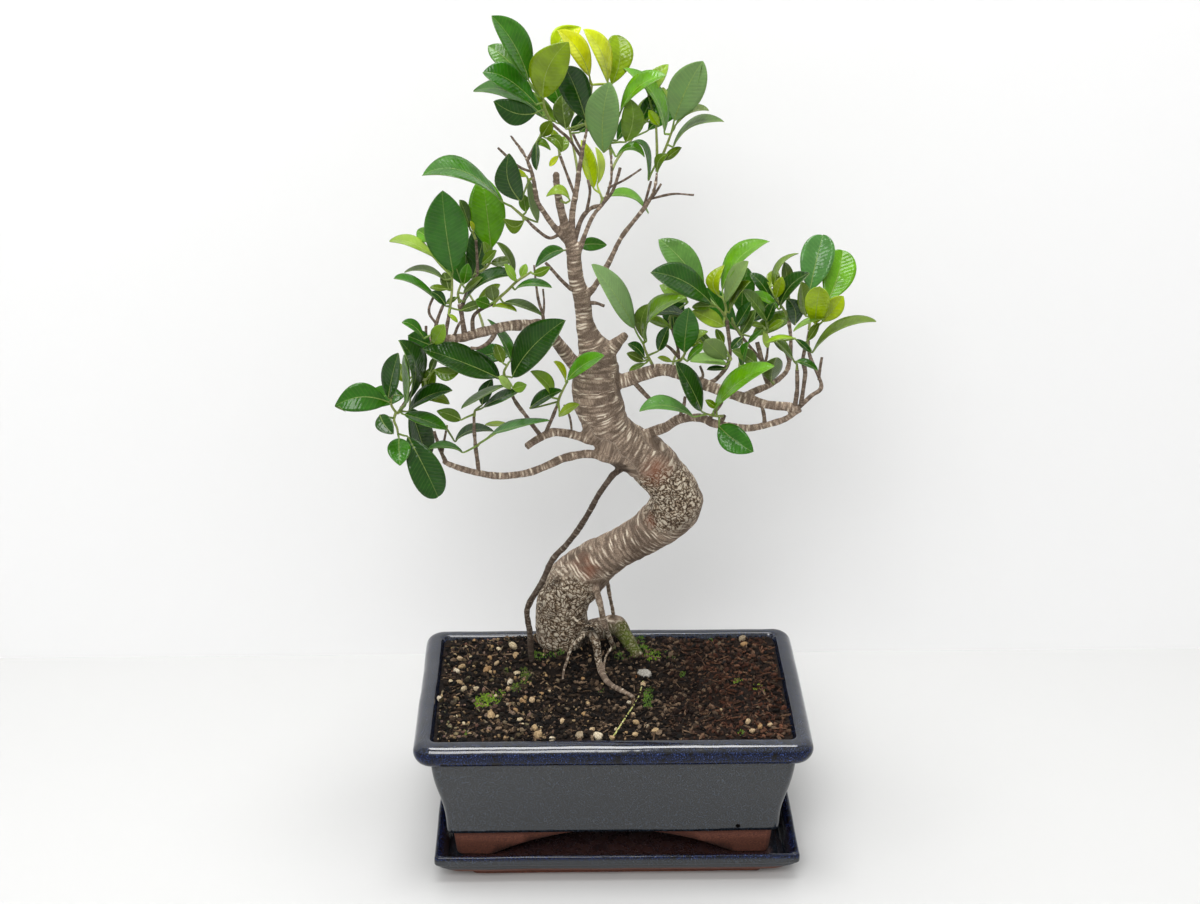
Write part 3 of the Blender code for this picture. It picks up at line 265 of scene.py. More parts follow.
def smooth_line(points, steps):
    """A Catmull-Rom line through the points, with this many steps between each two."""
    ends = [points[0] * 2 - points[1]] + list(points) + [points[-1] * 2 - points[-2]]
    line = []
    for before, start, end, after in zip(ends, ends[1:], ends[2:], ends[3:]):
        for step in range(steps):
            t = step / steps
            bend = (2 * before - 5 * start + 4 * end - after) * t * t
            turn = (3 * start - before - 3 * end + after) * t ** 3
            line.append(0.5 * (2 * start + (end - before) * t + bend + turn))
    return line + [points[-1].copy()]


def outline(shape, size, corner, inset, height):
    """The edges of a rounded rectangle: a square with its corners bevelled and its face taken away."""
    made = bmesh.ops.create_grid(shape, x_segments=1, y_segments=1, size=0.5)
    reach = (size[0] - 2 * inset, size[1] - 2 * inset, 1)
    bmesh.ops.scale(shape, vec=reach, verts=made["verts"])
    bmesh.ops.translate(shape, vec=(0, 0, height), verts=made["verts"])
    bmesh.ops.bevel(shape, geom=made["verts"], offset=corner, segments=CORNER_STEPS, affect="VERTICES",
                    profile=0.5, material=-1)
    face = shape.faces[:][0]
    edges = face.edges[:]
    bmesh.ops.delete(shape, geom=[face], context="FACES_ONLY")
    return edges


def lofted(size, profile):
    """A closed shape through steps of (inset, height, corner), thrown a little out of true as fired clay is."""
    shape = bmesh.new()
    inset, height, corner = profile[0]
    edges = outline(shape, size, corner, inset, height)
    ring = shape.verts[:]
    bmesh.ops.contextual_create(shape, geom=edges)
    for inset, height, corner in profile[1:]:
        guide = bmesh.new()
        outline(guide, size, corner, inset, height)
        made = bmesh.ops.extrude_edge_only(shape, edges=edges)
        fresh = {item for item in made["geom"] if isinstance(item, bmesh.types.BMVert)}
        ring = [next(edge.other_vert(old) for edge in old.link_edges if edge.other_vert(old) in fresh)
                for old in ring]
        for place, guide_place in zip(ring, guide.verts):
            place.co = guide_place.co
        guide.free()
        edges = [item for item in made["geom"] if isinstance(item, bmesh.types.BMEdge)
                 and all(place in fresh for place in item.verts)]
    bmesh.ops.contextual_create(shape, geom=edges)
    bmesh.ops.recalc_face_normals(shape, faces=shape.faces[:])
    ends = {place for face in shape.faces if len(face.verts) > 4 for place in face.verts}
    long = [edge for edge in shape.edges if edge.calc_length() > LONG_EDGE]
    bmesh.ops.subdivide_edges(shape, edges=long, cuts=EDGE_CUTS, use_grid_fill=True)
    ends |= {place for face in shape.faces if len(face.verts) > 4 for place in face.verts}
    for place in shape.verts:
        if place not in ends:
            broad, fine = (noise.noise_vector(place.co * waves) for waves in (BROAD_WARP, FINE_WARP))
            place.co += broad * WARP + fine * WARP * 0.4
    return shape


def joined(first, second):
    """The second bmesh added to the first."""
    carried = bpy.data.meshes.new("carried")
    second.to_mesh(carried)
    second.free()
    first.from_mesh(carried)
    bpy.data.meshes.remove(carried)
    return first


print("a loft has", 4 * (CORNER_STEPS + 1), "points a step")

# %% [markdown]
# The glaze is a dark cobalt stoneware glaze. It is glass over clay, so it has the gloss of glass and a high
# IOR, as a glaze full of metal oxides has. It ran thin on the body, which is left a slate grey, and thick on
# the lip and the tray, where it broke into fine blue flecks and burnt brown patches. It stops at the feet,
# where the bare clay shows its brown.

# %% Glaze
SPECK_MM = 0.8
PATCH_MM = 6.0
WAVE_MM = 9.0
CLAY_GRAIN_MM = 0.6
PIT_RADIUS = 0.0016


def per_metre(size_mm):
    """A texture scale that gives a pattern of this size in millimetres."""
    return 1 / (size_mm * MM)


def glaze(name, bare_below, edge_wave, thick_above, face_ends, pit):
    """Glaze over clay, bare below a height and thick above one. pit is where a bubble left a hole in it."""
    made, put, shader = finish_named(name)
    place = put("TexCoord").outputs["Object"]
    height = put("SeparateXYZ", {"Vector": place}).outputs["Z"]
    speck = put("TexNoise", {"Vector": place, "Scale": per_metre(SPECK_MM), "Detail": 2.0,
                             "Roughness": 0.75})
    patch = put("TexNoise", {"Vector": place, "Scale": per_metre(PATCH_MM), "Detail": 4.0,
                             "Roughness": 0.6})
    # The thin slate of the body and the thick flecked blue of the lip
    slate = put("ValToRGB", {"Fac": speck}, stops=((0.36, "#07080a"), (0.50, "#0f1318"), (0.60, "#222a34"),
                                                   (0.72, "#434f5f")))
    blue = put("ValToRGB", {"Fac": speck}, stops=((0.38, "#05070d"), (0.50, "#0b1124"), (0.60, "#1a274f"),
                                                  (0.72, "#4a5e9c")))
    burnt = put("MapRange", {"Value": patch}, span=(0.54, 0.64))
    patched = put("Mix", {"Factor": burnt, "A": blue, "B": linear("#0c0908")})
    above = put("MapRange", {"Value": height}, span=(face_ends - 0.0008, face_ends + 0.0012))
    over = put("MapRange", {"Value": height}, span=(thick_above - 0.001, thick_above + 0.001))
    ends = put("Math MULTIPLY_ADD", {0: above, 1: -0.6, 2: 1.0})
    thick = put("Math MULTIPLY", {0: over, 1: ends})
    cobalt = put("Mix", {"Factor": thick, "A": slate, "B": patched})
    # Bare clay, below a line that wanders as a dipped glaze does
    grit = put("TexNoise", {"Vector": place, "Scale": per_metre(CLAY_GRAIN_MM), "Detail": 4.0})
    clay = put("ValToRGB", {"Fac": grit}, stops=((0.30, "#38190f"), (0.50, "#5f301f"), (0.72, "#824b33")))
    wander = put("Math MULTIPLY", {0: patch, 1: edge_wave})
    line = put("Math ADD", {0: height, 1: wander})
    glazed = put("MapRange", {"Value": line}, span=(bare_below, bare_below + 0.0012))
    body = put("Mix", {"Factor": glazed, "A": clay, "B": cobalt})
    far = put("VectorMath DISTANCE", {0: place, 1: pit})
    whole = put("MapRange", {"Value": far}, span=(PIT_RADIUS * 0.7, PIT_RADIUS))
    seen = put("Mix", {"Factor": whole, "A": linear("#0a0807"), "B": body})
    feed(shader, {"Base Color": seen})
    # Clay is rough, glaze is glossy. The lip's upright face, between the two heights, shines least
    shine = put("MapRange", {"Value": glazed}, span=(0.0, 1.0, 0.85, 0.09))
    feed(shader, {"Roughness": shine})
    below = put("Math SUBTRACT", {0: 1.0, 1: over})
    either = put("Math MAXIMUM", {0: above, 1: below})
    glass = put("MapRange", {"Value": either}, span=(0.0, 1.0, 0.14, 0.45))
    held = put("Math MULTIPLY", {0: glass, 1: whole})
    feed(shader, {"Specular IOR Level": held})
    wave = put("TexNoise", {"Vector": place, "Scale": per_metre(WAVE_MM), "Detail": 1.0})
    swell = put("Bump", {"Height": wave, "Strength": 0.25, "Distance": 0.0006})
    fine = put("Bump", {"Height": speck, "Strength": 0.08, "Distance": 0.0001, "Normal": swell})
    sunk = put("Bump", {"Height": whole, "Strength": 1.0, "Distance": 0.0008, "Normal": fine})
    feed(shader, {"Normal": sunk, "IOR": 1.7})
    return made


# %% [markdown]
# The pot's measures are those of its solid: 255 by 165 mm at the lip and 104 mm to the rim. The profile goes
# from the body's underside up the flared outside, round the lip with the groove under it, over the broad flat
# rim, and down the inside wall. Each step has its inset, its height and the radius of its corners.

# %% The pot's body
POT_SIZE = (0.2555, 0.165)
RIM = 0.104
LIP = RIM - 0.0155
BODY_BOTTOM = 0.029
POT_FLOOR = 0.040
RIM_WIDTH = 0.0110
WALL_TOP = 0.0124
WALL_NECK = 0.0172
WALL_FLOOR = 0.0256
MOUTH = RIM - 0.004

outside = [Vector(step) for step in (
    (0.0235, BODY_BOTTOM, 0.0040), (0.0204, BODY_BOTTOM + 0.0002, 0.0040),
    (0.0193, BODY_BOTTOM + 0.0012, 0.0040),
    (0.0190, 0.0345, 0.0042), (0.0186, 0.0410, 0.0045), (0.0174, 0.0495, 0.0045), (0.0158, 0.0570, 0.0045),
    (0.0141, 0.0640, 0.0045), (0.0126, 0.0710, 0.0045), (0.0115, 0.0780, 0.0045), (0.0109, 0.0838, 0.0048),
    (0.0112, 0.0858, 0.0050), (0.0120, 0.0872, 0.0052), (0.0112, 0.0882, 0.0056),
    (0.0078, LIP + 0.0001, 0.0070),
    (0.0034, LIP + 0.0014, 0.0095), (0.0009, LIP + 0.0044, 0.0118), (0.0, LIP + 0.0078, 0.0125),
    (0.0006, RIM - 0.0045, 0.0120), (0.0022, RIM - 0.0020, 0.0104), (0.0044, RIM - 0.0006, 0.0082),
    (0.0066, RIM - 0.0001, 0.0068), (0.0090, RIM, 0.0058), (0.0105, RIM - 0.0004, 0.0055),
    (0.0113, RIM - 0.0015, 0.0055), (WALL_TOP, MOUTH, 0.0055), (WALL_NECK, 0.0900, 0.0055),
    (0.0215, 0.0640, 0.0055), (WALL_FLOOR, POT_FLOOR + 0.0006, 0.0050),
    (WALL_FLOOR + 0.003, POT_FLOOR, 0.0040))]
pot_shape = lofted(POT_SIZE, [tuple(step) for step in smooth_line(outside, 3)])
print("pot body:", len(pot_shape.faces), "faces")

# %% [markdown]
# The pot stands on a foot ring with a long low arch cut out of each side, so that water can drain. The ring is
# a second loft, and a Boolean takes its hollow, the arches and the drain holes away, as a potter's wire does.

# %% Feet and drain holes
SOLE = 0.0093
FOOT_INSET = 0.0248
FOOT_WALL = 0.012
FOOT_TOP = BODY_BOTTOM + 0.002
ARCH_RISE = 0.0200
SIDE_ARCH_RISE = 0.0175
DRAIN_RADIUS = 0.009
DRAIN_X = 0.055

foot_shape = lofted(POT_SIZE, (
    (FOOT_INSET + 0.0012, SOLE, 0.0035), (FOOT_INSET + 0.0002, SOLE + 0.0005, 0.0045),
    (FOOT_INSET - 0.0001, SOLE + 0.0014, 0.0045), (FOOT_INSET - 0.0012, 0.0200, 0.0045),
    (FOOT_INSET - 0.0020, FOOT_TOP, 0.0045)))
hollow = FOOT_INSET + FOOT_WALL
hollow_shape = lofted(POT_SIZE, ((hollow, SOLE - 0.004, 0.0045), (hollow, FOOT_TOP + 0.004, 0.0045)))


def bar(radius, length, sides, middle, along):
    """A round bar about its middle, lying along X or Y or standing along Z."""
    shape = bmesh.new()
    bmesh.ops.create_cone(shape, cap_ends=True, segments=sides, radius1=radius, radius2=radius, depth=length)
    turned = {"X": Matrix.Rotation(math.pi / 2, 3, "Y"), "Y": Matrix.Rotation(math.pi / 2, 3, "X"),
              "Z": Matrix.Identity(3)}[along]
    bmesh.ops.rotate(shape, cent=(0, 0, 0), matrix=turned, verts=shape.verts)
    bmesh.ops.translate(shape, vec=middle, verts=shape.verts)
    return shape


def carved(shape, cutters, name, finishes):
    """The bmesh with each cutter taken away, as an object. The cutters are removed."""
    made = show(shape, name, finishes)
    for number, cutter in enumerate(cutters):
        tool = show(cutter, f"{name}_tool_{number}", [])
        cut = made.modifiers.new("cut", "BOOLEAN")
        cut.operation = "DIFFERENCE"
        cut.object = tool
        cut.solver = "EXACT"
    graph = bpy.context.evaluated_depsgraph_get()
    result = bpy.data.meshes.new_from_object(made.evaluated_get(graph))
    for cut in list(made.modifiers):
        bpy.data.objects.remove(cut.object)
        made.modifiers.remove(cut)
    made.data = result
    return made


arches = [hollow_shape]
for width, rise, along in ((0.161, ARCH_RISE, "Y"), (0.070, SIDE_ARCH_RISE, "X")):
    radius = (width * width / 4 + rise * rise) / (2 * rise)
    arches.append(bar(radius, 0.5, 256, (0, 0, SOLE + rise - radius), along))
drains = [bar(DRAIN_RADIUS, 0.03, 32, (side * DRAIN_X, 0, POT_FLOOR - 0.005), "Z") for side in (-1, 1)]
pit_place = sighted((738, 826, -68.4))
cobalt_pot = glaze("cobalt glaze on stoneware, the pot", 0.0292, 0.0012, 0.0868, 0.0998, tuple(pit_place))
feet = carved(foot_shape, arches, "pot_feet", [cobalt_pot])
body = carved(pot_shape, drains, "glazed_pot", [cobalt_pot])
for piece in (feet, body):
    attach(piece, "root")
    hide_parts("pot")
print("pot:", len(body.data.polygons), "faces; feet:", len(feet.data.polygons), "faces")

# %% [markdown]
# The drip tray is pressed from the same clay and dipped in the same glaze. It flares to a thick lip, which is
# lower than the pot's feet are deep, and its base is left bare.

# %% The tray
TRAY_SIZE = (0.238, 0.154)
TRAY_HEIGHT = 0.0195
TRAY_FLOOR = 0.009
TRAY_OFFSET = 0.0024
BASE_TOP = 0.0125
BASE_DEEPER = 0.23

tray_profile = [Vector(step) for step in (
    (0.0260, 0.0, 0.0040), (0.0236, 0.0002, 0.0040), (0.0228, 0.0014, 0.0040), (0.0205, 0.0032, 0.0038),
    (0.0130, 0.0060, 0.0034), (0.0066, 0.0094, 0.0030), (0.0022, 0.0118, 0.0028), (0.0003, 0.0134, 0.0028),
    (0.0, 0.0152, 0.0028), (0.0001, 0.0178, 0.0028), (0.0004, 0.0190, 0.0027), (0.0012, TRAY_HEIGHT, 0.0026),
    (0.0030, TRAY_HEIGHT - 0.0006, 0.0028), (0.0052, 0.0174, 0.0030), (0.0070, 0.0152, 0.0034),
    (0.0084, 0.0128, 0.0038), (0.0100, 0.0104, 0.0040), (0.0128, TRAY_FLOOR + 0.0004, 0.0040),
    (0.0190, TRAY_FLOOR, 0.0040))]
tray_glaze = glaze("cobalt glaze on stoneware, the tray", 0.0084, 0.0006, 0.0172, 0.0195, (0.0, 0.0, 1.0))
tray_shape = lofted(TRAY_SIZE, [tuple(step) for step in smooth_line(tray_profile, 3)])
# The base is set back less at the front and the back than at the ends
for place in tray_shape.verts:
    if place.co.z < BASE_TOP and abs(place.co.y) > TRAY_SIZE[1] / 4:
        place.co.y *= 1 + BASE_DEEPER * (1 - place.co.z / BASE_TOP)
bmesh.ops.translate(tray_shape, vec=(TRAY_OFFSET, 0, 0), verts=tray_shape.verts)
tray = show(tray_shape, "glazed_tray", [tray_glaze])
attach(tray, "root")
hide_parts("saucer")
print("tray:", len(tray.data.polygons), "faces")

# %% [markdown]
# The woody part grew as one piece: a thick trunk in an S, roots that hang or run over the soil, branches and
# bare twigs. Each is a line of sight points with the diameters of its two ends. These are the same lines as
# those of the solid trunk, so that the bark lies where the solid is.

# %% Lines of the trunk, the roots and the branches
Limb = namedtuple("Limb", "name points thickness")

# The trunk's axis from its buried stump to the leader, as (column, row, depth, diameter)
TRUNK_AXIS = (
    (566, 690, 44, 20), (566, 664, 44, 33), (563, 640, 43, 36), (561, 612, 42, 36), (567, 592, 41, 36),
    (581, 575, 40, 35), (600, 559, 37, 31), (618, 548, 34, 27), (638, 538, 29, 27), (657, 526, 23, 30),
    (674, 508, 16, 34), (674, 490, 11, 32), (661, 472, 8, 30), (643, 456, 6, 31), (622, 443, 4, 31),
    (608, 427, 2, 29), (600, 407, 0, 31), (596, 389, 0, 30), (597, 371, 0, 28), (596, 355, 1, 24),
    (590, 340, 2, 16), (585, 323, 3, 11.5), (582, 298, 4, 10.5), (576, 278, 5, 9.6), (573, 250, 6, 9.2),
    (569, 238, 6, 7),
)

# Roots: name, sight points, first and last diameter. Their ends are in the soil.
ROOTS = (
    Limb("aerial_left", ((620, 470, 6), (612, 476, -9), (598, 496, -4), (584, 521, 6), (567, 544, 18),
        (553, 559, 20), (542, 582, 20), (529, 604, 20), (527, 615, 19), (530, 634, 17), (531, 652, 18),
        (532, 664, 22)), (4.2, 4.4)),
    Limb("aerial_front", ((592, 578, 36), (599, 600, 19), (604, 622, 18), (609, 636, 26), (613, 646, 34),
        (614, 654, 40)), (5.0, 3.6)),
    Limb("aerial_back", ((606, 570, 38), (609, 592, 44), (613, 612, 50), (615, 630, 54)), (3, 3)),
    Limb("buttress_right", ((580, 636, 46), (604, 628, 52), (616, 624, 51), (624, 635, 45), (632, 647, 39),
        (639, 658, 33)), (16, 8)),
    Limb("root_thin", ((571, 616, 26), (580, 623, 21), (590, 626, 19), (604, 623, 19)), (2.2, 2.2)),
    Limb("root_left", ((582, 630, 34), (583, 636, 15), (575, 643, 13), (570, 651, 13), (567, 661, 10),
        (564, 670, 5), (563, 680, -2), (563, 687, -3)), (3.6, 2.0)),
    Limb("root_big", ((586, 625, 34), (595, 640, 18), (598, 655, 17), (599, 664, 12), (603, 675, 0),
        (610, 684, -9), (622, 691, -16), (630, 695, -19), (635, 698, -19)), (6.6, 2.6)),
    Limb("root_loop", ((612, 646, 22), (606, 657, 14), (604, 668, 6), (605, 679, -4)), (2, 2)),
)

BRANCHES = (
    Limb("right_main", ((604, 384, 0), (626, 380, -1), (650, 372, -3), (672, 371, -6), (700, 383, -10),
        (735, 395, -14), (765, 404, -16), (799, 408, -18)), (10, 5.4)),
    Limb("lower_right", ((640, 436, 6), (664, 428, 2), (680, 419, 0), (700, 418, -6), (716, 424, -12),
        (746, 428, -16), (766, 425, -18), (785, 419, -19), (801, 409, -18)), (7, 3.6)),
    Limb("inner_right", ((742, 397, -14), (757, 390, -8), (768, 386, -2), (780, 378, 4), (788, 368, 8),
        (791, 345, 12), (789, 320, 16)), (4.6, 2.8)),
    Limb("left_upper", ((592, 376, 0), (575, 364, -2), (559, 345, -5), (544, 327, -8), (531, 325, -10),
        (507, 326, -14), (479, 333, -18), (459, 338, -20), (429, 341, -22), (417, 345, -22)), (9, 4.6)),
    Limb("left_middle", ((606, 444, 2), (590, 440, -4), (574, 435, -4), (554, 432, -6), (539, 438, -10),
        (526, 447, -14)), (6.6, 5)),
    Limb("left_lower", ((626, 458, 4), (610, 459, -8), (589, 454, -6), (564, 458, -8), (534, 471, -12),
        (504, 476, -18), (479, 473, -22), (454, 466, -26), (443, 461, -28)), (6.6, 3.6)),
    Limb("crown_left", ((571, 246, 6), (556, 229, 2), (545, 214, -2), (537, 200, -6), (533, 177, -10),
        (525, 156, -12), (510, 135, -14)), (4.6, 2)),
    Limb("crown_stub", ((569, 242, 6), (562, 214, 2), (557, 190, -1), (556, 172, -3)), (6.4, 3.8)),
    Limb("crown_middle", ((573, 250, 6), (572, 218, 10), (577, 186, 12), (580, 165, 12), (583, 148, 12),
        (587, 128, 12)), (4.8, 2.2)),
    Limb("crown_right", ((577, 262, 5), (583, 240, 4), (593, 216, 1), (604, 202, -1), (611, 180, -4),
        (611, 155, -6)), (3.6, 2)),
    Limb("thin_right", ((584, 300, 4), (597, 283, 2), (610, 260, -2), (623, 235, -5), (645, 207, -6),
        (654, 190, -6), (657, 172, -6)), (4.4, 2.2)),
)

TWIGS = (
    Limb("shoulder_stub", ((606, 352, 1), (618, 342, 0), (626, 334, -2)), (11, 4.4)),
    Limb("knot_spur", ((584, 304, 3), (595, 303, 1), (604, 306, -2)), (3, 2)),
    Limb("right_end_back", ((795, 407, -18), (797, 388, -20), (797, 370, -22)), (3.2, 2.2)),
    Limb("right_end_front", ((801, 404, -18), (805, 375, -24), (803, 360, -26), (805, 347, -28)),
        (3.2, 2.2)),
    Limb("right_end_outer", ((798, 408, -18), (811, 396, -14), (821, 388, -10), (818, 374, -8),
        (810, 356, 0), (808, 340, 4), (809, 331, 6)), (3, 1.8)),
    Limb("outer_spur", ((819, 380, -9), (820, 368, -8), (822, 357, -6)), (2, 1.6)),
    Limb("right_riser", ((769, 387, -2), (764, 372, 0), (762, 360, 2), (757, 342, 6)), (3.4, 3)),
    Limb("riser_left", ((763, 362, 2), (751, 348, 0), (740, 334, -3), (733, 323, -4)), (2, 1.6)),
    Limb("riser_right", ((764, 366, 1), (767, 356, 4), (768, 345, 7)), (2, 1.6)),
    Limb("inner_spur", ((789, 362, 9), (786, 351, 12), (780, 341, 16)), (2.2, 1.8)),
    Limb("ringed_twig", ((704, 385, -10), (716, 379, -8), (727, 366, -6), (730, 350, -4), (727, 320, 0)),
        (3, 2.4)),
    Limb("short_twig", ((697, 382, -10), (703, 376, -10), (700, 366, -10)), (2, 1.6)),
    Limb("slim_twig", ((677, 374, -7), (679, 359, -4), (677, 345, -2), (669, 321, 2)), (2.2, 1.6)),
    Limb("slim_side", ((679, 358, -4), (670, 348, -6), (658, 341, -8)), (1.8, 1.6)),
    Limb("near_twig", ((655, 373, -4), (652, 364, -6)), (2.4, 2)),
    Limb("hanging_limb", ((632, 380, -1), (645, 394, -6), (655, 405, -10)), (3.4, 2)),
    Limb("link_twig", ((765, 427, -18), (764, 415, -17), (761, 403, -16)), (2.6, 2.2)),
    Limb("lower_spur", ((718, 425, -12), (722, 420, -15), (724, 416, -17)), (3.2, 2.6)),
    Limb("lower_twig", ((708, 420, -9), (716, 411, -12), (722, 402, -13)), (2.6, 2)),
    Limb("lower_snag", ((679, 419, 0), (684, 405, -3), (685, 397, -4)), (2.4, 1.8)),
    Limb("left_under", ((497, 329, -16), (490, 341, -20), (479, 348, -24), (471, 348, -26)), (2.8, 2)),
    Limb("left_end", ((419, 345, -22), (425, 358, -20), (422, 373, -20), (416, 386, -20), (401, 409, -22)),
        (3.2, 2.4)),
    Limb("upright_one", ((427, 342, -22), (426, 333, -20), (426, 326, -18)), (2, 1.6)),
    Limb("upright_two", ((436, 340, -22), (436, 326, -18), (441, 310, -14), (444, 304, -12)), (2.4, 2)),
    Limb("upright_pale", ((437, 325, -18), (429, 312, -16), (433, 298, -12), (441, 287, -8)), (1.8, 1.5)),
    Limb("upright_three", ((445, 339, -21), (447, 326, -19), (449, 314, -17)), (2.6, 2.2)),
    Limb("upright_four", ((454, 337, -20), (458, 326, -24), (463, 319, -26)), (2, 1.6)),
    Limb("upright_five", ((465, 336, -20), (462, 316, -12), (460, 304, -10)), (3.4, 2.8)),
    Limb("upright_six", ((473, 334, -19), (473, 318, -16), (480, 310, -15), (493, 304, -16)), (2.6, 2)),
    Limb("left_riser", ((461, 309, -10), (468, 290, -4), (477, 275, 2), (477, 256, 6), (476, 240, 8)),
        (2.4, 1.5)),
    Limb("bare_twig", ((542, 326, -8), (543, 316, -7), (538, 298, 0), (534, 265, 8)), (2.2, 1.3)),
    Limb("bare_side", ((543, 317, -7), (544, 303, -5), (543, 289, -3)), (1.6, 1.2)),
    Limb("middle_twig", ((540, 435, -9), (526, 416, -14), (514, 399, -18), (506, 380, -20)), (3, 1.9)),
    Limb("middle_inner", ((546, 432, -9), (553, 416, -14), (557, 406, -16)), (2.6, 2)),
    Limb("middle_dead", ((572, 434, -4), (570, 418, -8), (564, 405, -10)), (1.5, 1.2)),
    Limb("lower_end_one", ((446, 463, -27), (440, 449, -24), (434, 431, -20)), (2.6, 2)),
    Limb("lower_end_two", ((442, 453, -25), (444, 442, -22), (446, 431, -18)), (2, 1.6)),
    Limb("lower_up", ((479, 473, -22), (475, 442, -20), (474, 417, -18)), (2.8, 1.9)),
    Limb("crown_fork", ((527, 161, -11), (535, 146, -6), (540, 138, -3)), (2.2, 1.6)),
    Limb("crown_dead", ((532, 172, -10), (518, 166, -13), (498, 148, -18)), (1.8, 1.3)),
    Limb("crown_low", ((560, 234, 3), (549, 238, -1), (535, 228, -6), (527, 220, -8)), (2.2, 1.7)),
    Limb("crown_side", ((580, 155, 12), (569, 139, 8), (560, 131, 4), (551, 123, 0)), (2.1, 1.6)),
    Limb("crown_short", ((582, 152, 12), (577, 142, 14), (573, 134, 14)), (1.8, 1.5)),
    Limb("crown_back", ((575, 196, 12), (566, 172, 17), (560, 156, 20)), (2, 1.6)),
    Limb("crown_limb", ((574, 243, 7), (581, 220, 12), (590, 209, 14), (601, 205, 16)), (3.2, 2.2)),
    Limb("crown_snag", ((586, 214, 13), (590, 193, 11), (588, 180, 10)), (2.2, 1.6)),
    Limb("right_fork", ((603, 204, -1), (612, 192, -6), (617, 179, -10), (620, 168, -12)), (2.2, 1.8)),
    Limb("right_whisker", ((608, 188, -3), (626, 179, -9), (641, 169, -14)), (1.5, 1.2)),
    Limb("far_whisker", ((650, 199, -6), (672, 194, -10), (694, 195, -12)), (1.6, 1.2)),
    Limb("far_fork", ((650, 200, -6), (656, 192, -8), (661, 184, -10)), (1.8, 1.5)),
    Limb("near_fork", ((643, 209, -6), (648, 192, -2), (651, 181, 0)), (1.8, 1.5)),
    Limb("leader_snag", ((576, 291, 4), (566, 285, 0), (546, 263, -6)), (3, 2)),
)

# %% [markdown]
# Bark swells and shrinks all along a limb, so no limb is a plain tube. Each one is drawn as a curve with a
# round bevel, with its radius varied a little at every point. The thick limbs are then melted into one skin by
# a voxel Remesh, which gives the soft collars that real wood grows where a branch leaves the trunk.

# %% Tubes
ROUND = 5
TWIG_ROUND = 2
SAMPLE_MM = 1.6
# A twig thicker than this is melted into the limbs
THICK_TWIG = 4


def limb_line(points, diameters, wobble, seed):
    """A limb as closely spaced places and radii in metres, with a little natural unevenness."""
    held = [Vector((*place, 0)) for place in points]
    length = sum((b - a).length for a, b in zip(held, held[1:]))
    steps = max(2, round(length / (len(held) - 1) / (SAMPLE_MM * MM)))
    line = [place.to_3d() for place in smooth_line(held, steps)]
    widths = [w.x for w in smooth_line([Vector((d, 0)) for d in diameters], steps)]
    radii = []
    for number, (place, width) in enumerate(zip(line, widths)):
        swell = noise.noise(Vector((number * 0.35, seed, 0))) * wobble
        swell += max(0.0, noise.noise(Vector((number * 0.16, seed + 9.5, 0))) - 0.15) * 1.2 * wobble
        radii.append(width * MM / 2 * (1 + swell))
        sway = Vector(noise.noise(Vector((number * 0.22, seed, layer))) for layer in (4, 8, 12))
        line[number] = place + sway * width * MM * wobble * 0.35
    return line, radii


def tube(line, radii, roundness):
    """A closed tube along the line, as a bmesh."""
    curve = bpy.data.curves.new("tube", "CURVE")
    curve.dimensions = "3D"
    curve.bevel_depth = 1.0
    curve.bevel_resolution = roundness
    curve.use_fill_caps = True
    spline = curve.splines.new("POLY")
    spline.points.add(len(line) - 1)
    for knot, place, radius in zip(spline.points, line, radii):
        knot.co = (*place, 1)
        knot.radius = radius
    drawn = bpy.data.objects.new("tube", curve)
    bpy.context.scene.collection.objects.link(drawn)
    graph = bpy.context.evaluated_depsgraph_get()
    mesh = bpy.data.meshes.new_from_object(drawn.evaluated_get(graph))
    shape = bmesh.new()
    shape.from_mesh(mesh)
    bpy.data.objects.remove(drawn)
    bpy.data.curves.remove(curve)
    bpy.data.meshes.remove(mesh)
    bmesh.ops.remove_doubles(shape, verts=shape.verts[:], dist=1e-6)
    bmesh.ops.recalc_face_normals(shape, faces=shape.faces[:])
    return shape


def spread(first, last, count):
    """Evenly stepped values from the first to the last."""
    return [first + (last - first) * step / (count - 1) for step in range(count)]


axis = [sighted(point[:3]) for point in TRUNK_AXIS]
wood_lines = [limb_line(axis, [point[3] for point in TRUNK_AXIS], 0.05, 1.5)]
twig_lines = []
for limbs, wobble, seed in ((ROOTS + BRANCHES, 0.13, 10.5), (TWIGS, 0.22, 100.5)):
    for number, limb in enumerate(limbs):
        diameters = spread(*limb.thickness, len(limb.points))
        line = limb_line([sighted(point) for point in limb.points], diameters, wobble, seed + 3 * number)
        (twig_lines if limbs is TWIGS and limb.thickness[0] <= THICK_TWIG else wood_lines).append(line)
print("limbs to melt together:", len(wood_lines), "and twigs:", len(twig_lines))

# %% [markdown]
# The skin of the melted limbs is smoothed, and then every point is told where it is on its own limb: how far
# along it and on which side. That is kept as an attribute, bark_co, laid out as if the limb were a straight
# pole. Fig bark has its pores and wrinkles across the limb, and a pattern on bark_co follows every bend.

# %% The melted skin
VOXEL = 0.00100
SMOOTH_ROUNDS = 2


def melted(lines):
    """One skin round all the tubes, as a mesh."""
    shape = tube(*lines[0], ROUND)
    for line, radii in lines[1:]:
        shape = joined(shape, tube(line, radii, ROUND))
    made = show(shape, "limbs", [])
    skin = made.modifiers.new("melt", "REMESH")
    skin.mode = "VOXEL"
    skin.voxel_size = VOXEL
    graph = bpy.context.evaluated_depsgraph_get()
    mesh = bpy.data.meshes.new_from_object(made.evaluated_get(graph))
    bpy.data.objects.remove(made)
    return mesh


